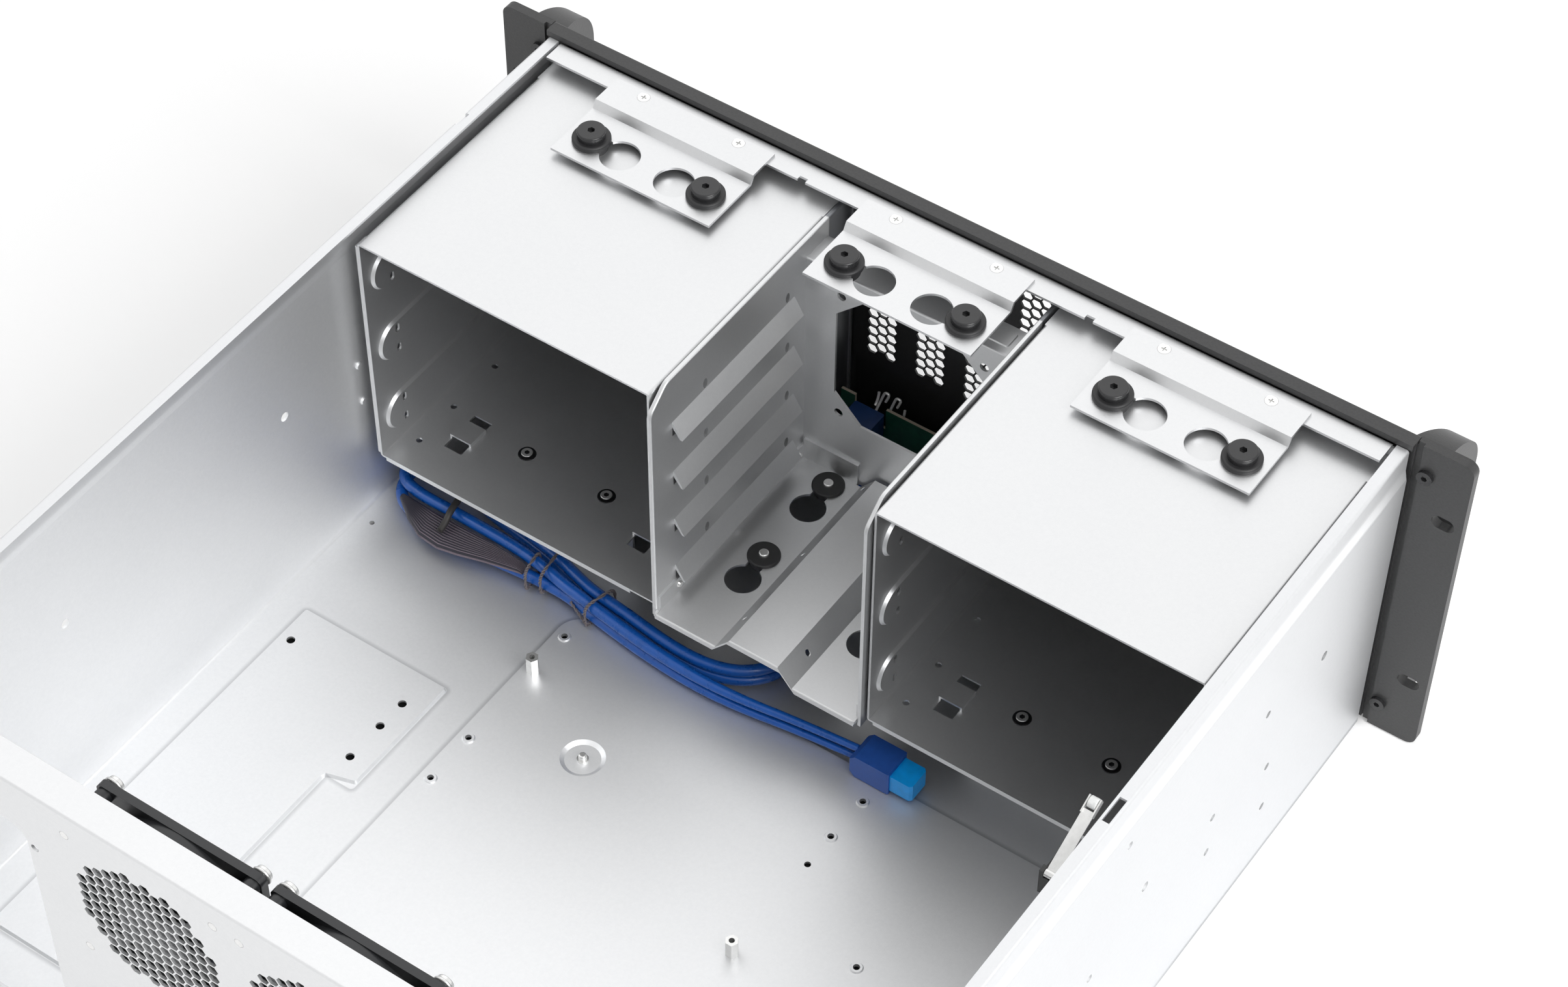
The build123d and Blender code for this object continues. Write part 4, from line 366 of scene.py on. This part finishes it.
coat(plated("bright_plate", (0.82, 0.82, 0.81), 0.16), "bracket_screws", "tray_studs", "centre_rivets",
     "standoffs", "locating_stud", "slot_screws", "fan_screws", "finger_guards", "usb_ports", "switch_lever")
# Painted shade: each floor screw is nearly black up to the top of its head, which alone keeps the plated
# grey.
dished = Finish("dished_screw")
head_top_above_shade = dished.place().axis("Z").over(0.0384, 0.0387)
coat(dished.principled(Base_Color=dished.blend(head_top_above_shade, (0.03, 0.03, 0.032, 1), (0.62, 0.62, 0.62, 1)),
                       Metallic=0.8, Roughness=0.3 + dished.noise(500.0) * 0.1), "cage_screws")
coat(moulded("black_oxide", (0.02, 0.02, 0.021), 0.22, 400.0), "shoulder_screws", "handle_screws")


# Port board: a green glass-fibre board behind the vent, with a dark blue header plug on it.
# Its two faces are green and its cut edges show the beige fibre between them.

board = Finish("board_green")
board_middle = -0.1942
off_middle = (board.place().axis("Y") - board_middle).size()
board_weave = board.noise(350.0, 2.0)
board_face = board.blend(board_weave, (0.006, 0.045, 0.028, 1), (0.012, 0.10, 0.06, 1))
board_tone = board.blend(off_middle.over(0.00065, 0.00075), (0.42, 0.36, 0.29, 1), board_face)
coat(board.principled(Base_Color=board_tone, Roughness=0.3 + board_weave * 0.1), "port_board")
coat(moulded("header_blue", (0.012, 0.045, 0.16), 0.4, 300.0), "header_plug")


# Blue data cables: two soft sleeves that drop from the header, pass under the tray, turn along the left
# cage's lip, fold back at the wall and end in one connector on the floor.

left_face = 215.0
front_face = -209.0


def case_point(from_left, behind_front, height):
    """Point from millimetres inward of the left face, behind the front face and above the underside."""
    return ((left_face - from_left) / 1000, (front_face + behind_front) / 1000, height / 1000)


def route_curve(name, points, radius, thinning=()):
    """Smooth NURBS line with the points as its control points and a round section; thinning gives the
    shares of the radius at its last points, from the end inward."""
    data = bpy.data.curves.new(name, "CURVE")
    data.dimensions = "3D"
    spline = data.splines.new("NURBS")
    spline.points.add(len(points) - 1)
    for point, place in zip(spline.points, points):
        point.co = (*place, 1.0)
    for point, share in zip(reversed(spline.points), thinning):
        point.radius = share
    spline.order_u = 3
    spline.use_endpoint_u = True
    spline.resolution_u = 8
    data.bevel_depth = radius
    data.bevel_resolution = 6
    data.use_fill_caps = True
    holder = bpy.data.objects.new(name, data)
    bpy.context.scene.collection.objects.link(holder)
    return holder


cable_floor = 6.5
cable_stack = 6.1
cable_radius = 0.0028
thin_end = (0.6, 0.65, 0.75, 0.88)
loop_out = [
    (214, 127), (206, 142), (190, 150), (168, 151), (140, 147), (120, 145), (108, 141.6), (94, 137.6),
    (80, 134.8), (66, 132.8), (47, 129.5), (34, 122.5), (21, 117.5), (10.8, 121.5), (7, 132),
]
loop_back_lower = [(10.8, 144), (20.8, 150.5), (42, 152.8), (62, 152.5), (78, 151), (92, 149.8)]
loop_back_upper = [(10.6, 140.3), (20.8, 143.8), (42, 143.6), (62, 143.8), (78, 144.3), (94, 146.2)]
loop_end = [
    (108, 149.4), (120, 151.3), (134, 153.6), (160, 157), (186, 158.8), (210, 157.5), (238, 153.2),
    (266, 150.5),
]
drop_lower = [(183.5, 23, 37), (183.6, 24, 27), (185, 29, 17.6), (188.5, 39, 11.5), (192.5, 53, 8.6),
              (197, 69, 7.2), (204, 88, 6.4), (210, 108, 5.9)]
drop_upper = [(177, 23, 37), (177, 23.2, 26.8), (178.3, 27.9, 18), (180.6, 36.5, 12.9), (185, 52, 12.6),
              (192, 70, 12.4), (200.5, 88, 12.2), (208.5, 108, 12)]
lower_loop = loop_out + loop_back_lower + loop_end
upper_loop = loop_out + loop_back_upper + loop_end
lower_route = ([case_point(*p) for p in drop_lower]
               + [case_point(u, v, cable_floor) for u, v in lower_loop])
upper_route = ([case_point(*p) for p in drop_upper]
               + [case_point(u, v, cable_floor + cable_stack) for u, v in upper_loop])
sleeve = moulded("blue_sleeve", (0.005, 0.085, 0.38), 0.28, 200.0)
for name, route, node_name, length in (("data_cable_lower", lower_route, "blue_cable_lower", 0.623),
                                       ("data_cable_upper", upper_route, "blue_cable_upper", 0.620)):
    cable = route_curve(name, route, cable_radius, thin_end)
    cable.data.materials.append(sleeve)
    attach(cable, "case")
    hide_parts(node_name)
coat(moulded("connector_navy", (0.014, 0.075, 0.33), 0.4, 300.0), "cable_connector")
coat(moulded("connector_sky", (0.0, 0.31, 0.8), 0.35, 300.0), "connector_tip")


# Black ribbon: a flat cable of a dozen leads folded into a hank beside the blue pair, fanned out from the
# fold on the left. Painted highlights lie as fine lighter lines on its rib crests. One round lead runs to the
# port board.

hank_bottom = 9.6
hank_left = 15
hank_right = 88
hank_rear = [(hank_left, 149), (19, 152), (26, 157), (36, 162.2), (47.4, 163.4), (57.4, 161.3), (69.2, 157.8),
             (80, 155.2), (hank_right, 153.5)]
hank_front = [(hank_left, 147.5), (48, 147.3), (70, 147.6), (hank_right, 149.5)]
hank_leads = 12
end_round = 3


def hank_height(along, across):
    """Top of the hank in mm: 3.7 high at the front edge and 2.6 at the rear, rounded off by
    sqrt(1 - (2a - 1)^8) over its width a and by quarter circles at its ends, with cosine ribs on it."""
    body = (3.7 - 1.1 * across) * np.sqrt(np.clip(1 - (2 * across - 1) ** 8, 0, 1))
    left = np.clip((along - hank_left) / end_round, 0, 1)
    right = np.clip((hank_right - along) / end_round, 0, 1)
    ends = np.sqrt(left * (2 - left)) * np.sqrt(right * (2 - right))
    ribs = 0.16 * np.cos(2 * np.pi * hank_leads * across) * np.clip((along - 27) / 12, 0, 1)
    return hank_bottom + body * ends + ribs * ends * np.sin(np.pi * across) ** 0.3


def surface_mesh(name, x, y, z, share):
    """Closed mesh of a grid surface over a flat underside, with the grid's shares as its UV."""
    rows, columns = x.shape
    top = np.stack([x, y, z], axis=-1).reshape(-1, 3) / 1000
    under = top.copy()
    under[:, 2] = z.min() / 1000
    index = np.arange(rows * columns).reshape(rows, columns)
    quads = np.stack([index[:-1, :-1], index[1:, :-1], index[1:, 1:], index[:-1, 1:]], axis=-1)
    quads = quads.reshape(-1, 4)
    flipped = quads[:, ::-1] + rows * columns
    border = np.concatenate([index[0, :], index[1:, -1], index[-1, -2::-1], index[-2:0:-1, 0]])
    after = np.roll(border, -1)
    sides = np.stack([border, after, after + rows * columns, border + rows * columns], axis=-1)
    mesh = bpy.data.meshes.new(name)
    faces = np.concatenate([quads, flipped, sides])
    mesh.from_pydata(np.concatenate([top, under]).tolist(), [], faces.tolist())
    shares = np.concatenate([share.reshape(-1, 2), share.reshape(-1, 2)])
    corners = np.empty(len(mesh.loops), dtype=np.int64)
    mesh.loops.foreach_get("vertex_index", corners)
    mesh.uv_layers.new(name="share").data.foreach_set("uv", shares[corners].ravel())
    mesh.polygons.foreach_set("use_smooth", [True] * len(mesh.polygons))
    return mesh


def placed(name, mesh, material):
    """Object of a mesh at the origin, with one material."""
    mesh.materials.append(material)
    holder = bpy.data.objects.new(name, mesh)
    bpy.context.scene.collection.objects.link(holder)
    return holder


along, across = np.meshgrid(np.linspace(hank_left, hank_right, 130), np.linspace(0, 1, 145), indexing="ij")
front_edge = np.interp(along, *zip(*hank_front))
rear_edge = np.interp(along, *zip(*hank_rear))
behind = front_edge + (rear_edge - front_edge) * across
shares = np.stack([across, (along - hank_left) / (hank_right - hank_left)], axis=-1)
hank_mesh = surface_mesh("ribbon_folds", left_face - along, front_face + behind,
                         hank_height(along, across), shares)

ribbon = Finish("ribbon_black")
ribbon_share = ribbon.node("UVMap", {"uv_map": "share"})
# Painted highlight: lighter lines follow the crests of the ribs where the leads fan out.
rib_turn = ribbon_share.axis("X") * (2 * math.pi * hank_leads) + 1.57
rib_highlight_wave = ribbon.node("Math", {"operation": "SINE"}, {0: rib_turn})
fanned = ribbon_share.axis("Y").over(0.12, 0.34)
ribbon_tone_and_highlights = ribbon.blend(rib_highlight_wave.over(0.1, 1.0) * fanned, (0.016, 0.014, 0.024, 1),
                           (0.15, 0.12, 0.145, 1))
ribbon_black = ribbon.principled(Base_Color=ribbon_tone_and_highlights, Roughness=0.5 + ribbon.noise(300.0) * 0.1)
hank = placed("ribbon_folds", hank_mesh, ribbon_black)
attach(hank, "case")
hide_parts("ribbon_hank")

lead_route = [case_point(*p) for p in [
    (45.5, 158, 15.5), (45.2, 153.5, 16.3), (44.2, 148.6, 19), (43, 139, 19.5), (40.6, 132, 19.4),
    (39.3, 116, 18.7), (38.3, 104, 13), (37.3, 93, 7.6), (36.6, 80, 4.4),
    (37, 64, 3.7), (43, 47, 3.5), (57, 34, 3.6), (76, 26.5, 3.8), (98, 23.5, 4.2), (120, 23, 5),
    (142, 26, 6.4), (154, 30.5, 8.5), (164, 31, 11.5), (170, 26, 14), (171.5, 15.7, 16),
]]
lead_radius = 0.0016
lead = route_curve("ribbon_front_lead", lead_route, lead_radius)
lead.data.materials.append(moulded("lead_black", (0.03, 0.028, 0.026), 0.5, 200.0))
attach(lead, "case")
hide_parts("ribbon_lead")


# Wire ties: thin grey-brown twisted ties round the cables, two near the ribbon's end and one further along
# whose twisted tail points back to the left.

tie_wire = 0.00042
tie_height = 9.7
tie_half_height = 6.7


def round_bundle(from_left, middle, half_width, slant):
    """Closed path round a bundle: a rounded oblong |c|^0.5, |s|^0.5 in a plane that leans along the case."""
    turn_angle = np.linspace(0, 2 * np.pi, 96, endpoint=False)
    side = np.sign(np.cos(turn_angle)) * np.abs(np.cos(turn_angle)) ** 0.5
    rise = np.sign(np.sin(turn_angle)) * np.abs(np.sin(turn_angle)) ** 0.5
    return [(from_left + slant * half_width * s, middle + half_width * s, tie_height + tie_half_height * r)
            for s, r in zip(side, rise)]


def twisted_pair(path, closed, pitch):
    """Two strands that wind round a path of case points, one turn to each pitch of points."""
    places = np.array([case_point(*p) for p in path])
    if closed:
        ahead = np.roll(places, -1, axis=0) - np.roll(places, 1, axis=0)
    else:
        ahead = np.gradient(places, axis=0)
    ahead /= np.linalg.norm(ahead, axis=1)[:, None]
    sideways = np.cross(ahead, (0.3, 0.2, 0.93))
    sideways /= np.linalg.norm(sideways, axis=1)[:, None]
    outward = np.cross(ahead, sideways)
    strands = []
    for phase in (0, np.pi):
        wind = (2 * np.pi * np.arange(len(places)) / pitch + phase)[:, None]
        strands.append(places + tie_wire * (np.cos(wind) * sideways + np.sin(wind) * outward))
    return [(strand, closed) for strand in strands]


tie_data = bpy.data.curves.new("wire_ties", "CURVE")
tie_data.dimensions = "3D"
tie_data.bevel_depth = tie_wire
tie_data.bevel_resolution = 2
tie_tail = [(126.5 - 1.0 * step, 157.4 - 0.35 * step, 4.5 + 0.35 * step) for step in range(13)]
for strand, closed in (twisted_pair(round_bundle(90.6, 149.2, 6.9, 0.15), True, 8)
                       + twisted_pair(round_bundle(97.6, 144.4, 10.0, 0.1), True, 8)
                       + twisted_pair(round_bundle(127.5, 149.0, 8.4, -0.25), True, 8)
                       + twisted_pair(tie_tail, False, 4)):
    spline = tie_data.splines.new("POLY")
    spline.points.add(len(strand) - 1)
    for point, place in zip(spline.points, strand):
        point.co = (*place, 1.0)
    spline.use_cyclic_u = closed
tie_data.materials.append(moulded("tie_grey", (0.14, 0.12, 0.125), 0.5, 300.0))
ties = bpy.data.objects.new("wire_ties", tie_data)
bpy.context.scene.collection.objects.link(ties)
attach(ties, "case")
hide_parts("cable_ties")


# Spring contacts: bright bent wires that stand behind the vent sheet over the port board's notch.
# Each is a thin nickelled form, soldered to the board's front face.

spring_data = bpy.data.curves.new("contact_springs", "CURVE")
spring_data.dimensions = "3D"
spring_data.bevel_depth = 0.00065
spring_data.bevel_resolution = 3
spring_data.use_fill_caps = True
wires = [[(foot - 1.2, 13.9, 52), (foot - 0.8, 11.6, 55), (foot, 11, 58.5), (foot + 1.2, 10.8, 62.4),
          (tip, 10.8, 62.2), (tip - 0.5, 11, 59.6), (tip - 1.5, 11.2, 57)]
         for foot, tip in ((183.5, 187.0), (189.6, 193.2))]
wires += [[(pin, 13.9, height - 6), (pin, 11.4, height - 4), (pin, 11, height)]
          for pin, height in ((181.7, 60.8), (195.6, 57.2))]
for wire in wires:
    spline = spring_data.splines.new("NURBS")
    spline.points.add(len(wire) - 1)
    for point, place in zip(spline.points, wire):
        point.co = (*case_point(*place), 1.0)
    spline.order_u = 3
    spline.use_endpoint_u = True
spring_data.materials.append(plated("spring_plate", (0.9, 0.89, 0.88), 0.12, 0.3))
springs = bpy.data.objects.new("contact_springs", spring_data)
bpy.context.scene.collection.objects.link(springs)
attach(springs, "case")


# Sheet edges at the front: the cage tops run forward under the front flange, and the black lip behind the
# front panel's top edge turns down to the frame, so that no slot shows between them.

box_faces = ((0, 1, 3, 2), (4, 6, 7, 5), (0, 4, 5, 1), (2, 3, 7, 6), (0, 2, 6, 4), (1, 5, 7, 3))


def plate_mesh(name, plates):
    """Flat plates, each between two opposite corners in case millimetres."""
    corners = []
    faces = []
    for low, high in plates:
        first = len(corners)
        x_pair, y_pair, z_pair = (sorted(pair) for pair in zip(case_point(*low), case_point(*high)))
        corners += [(x, y, z) for x in x_pair for y in y_pair for z in z_pair]
        faces += [[first + corner for corner in face] for face in box_faces]
    mesh = bpy.data.meshes.new(name)
    mesh.from_pydata(corners, [], faces)
    return mesh


cage_fronts = plate_mesh("cage_top_fronts", [((8.8, 9.0, 167.6), (159.9, 26.0, 168.6)),
                                             ((270.1, 9.0, 167.6), (421.2, 26.0, 168.6))])
lip_back = plate_mesh("panel_lip_back", [((0.2, 5.5, 175.1), (429.8, 7.3, 178.0))])
for name, mesh, material, slot in (("cage_top_fronts", cage_fronts, cage_zinc_shaded, "zinc_sheet"),
                                   ("panel_lip_back", lip_back, panel_coat, "black_paint")):
    plate = placed(name, mesh, material)
    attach(plate, "case")
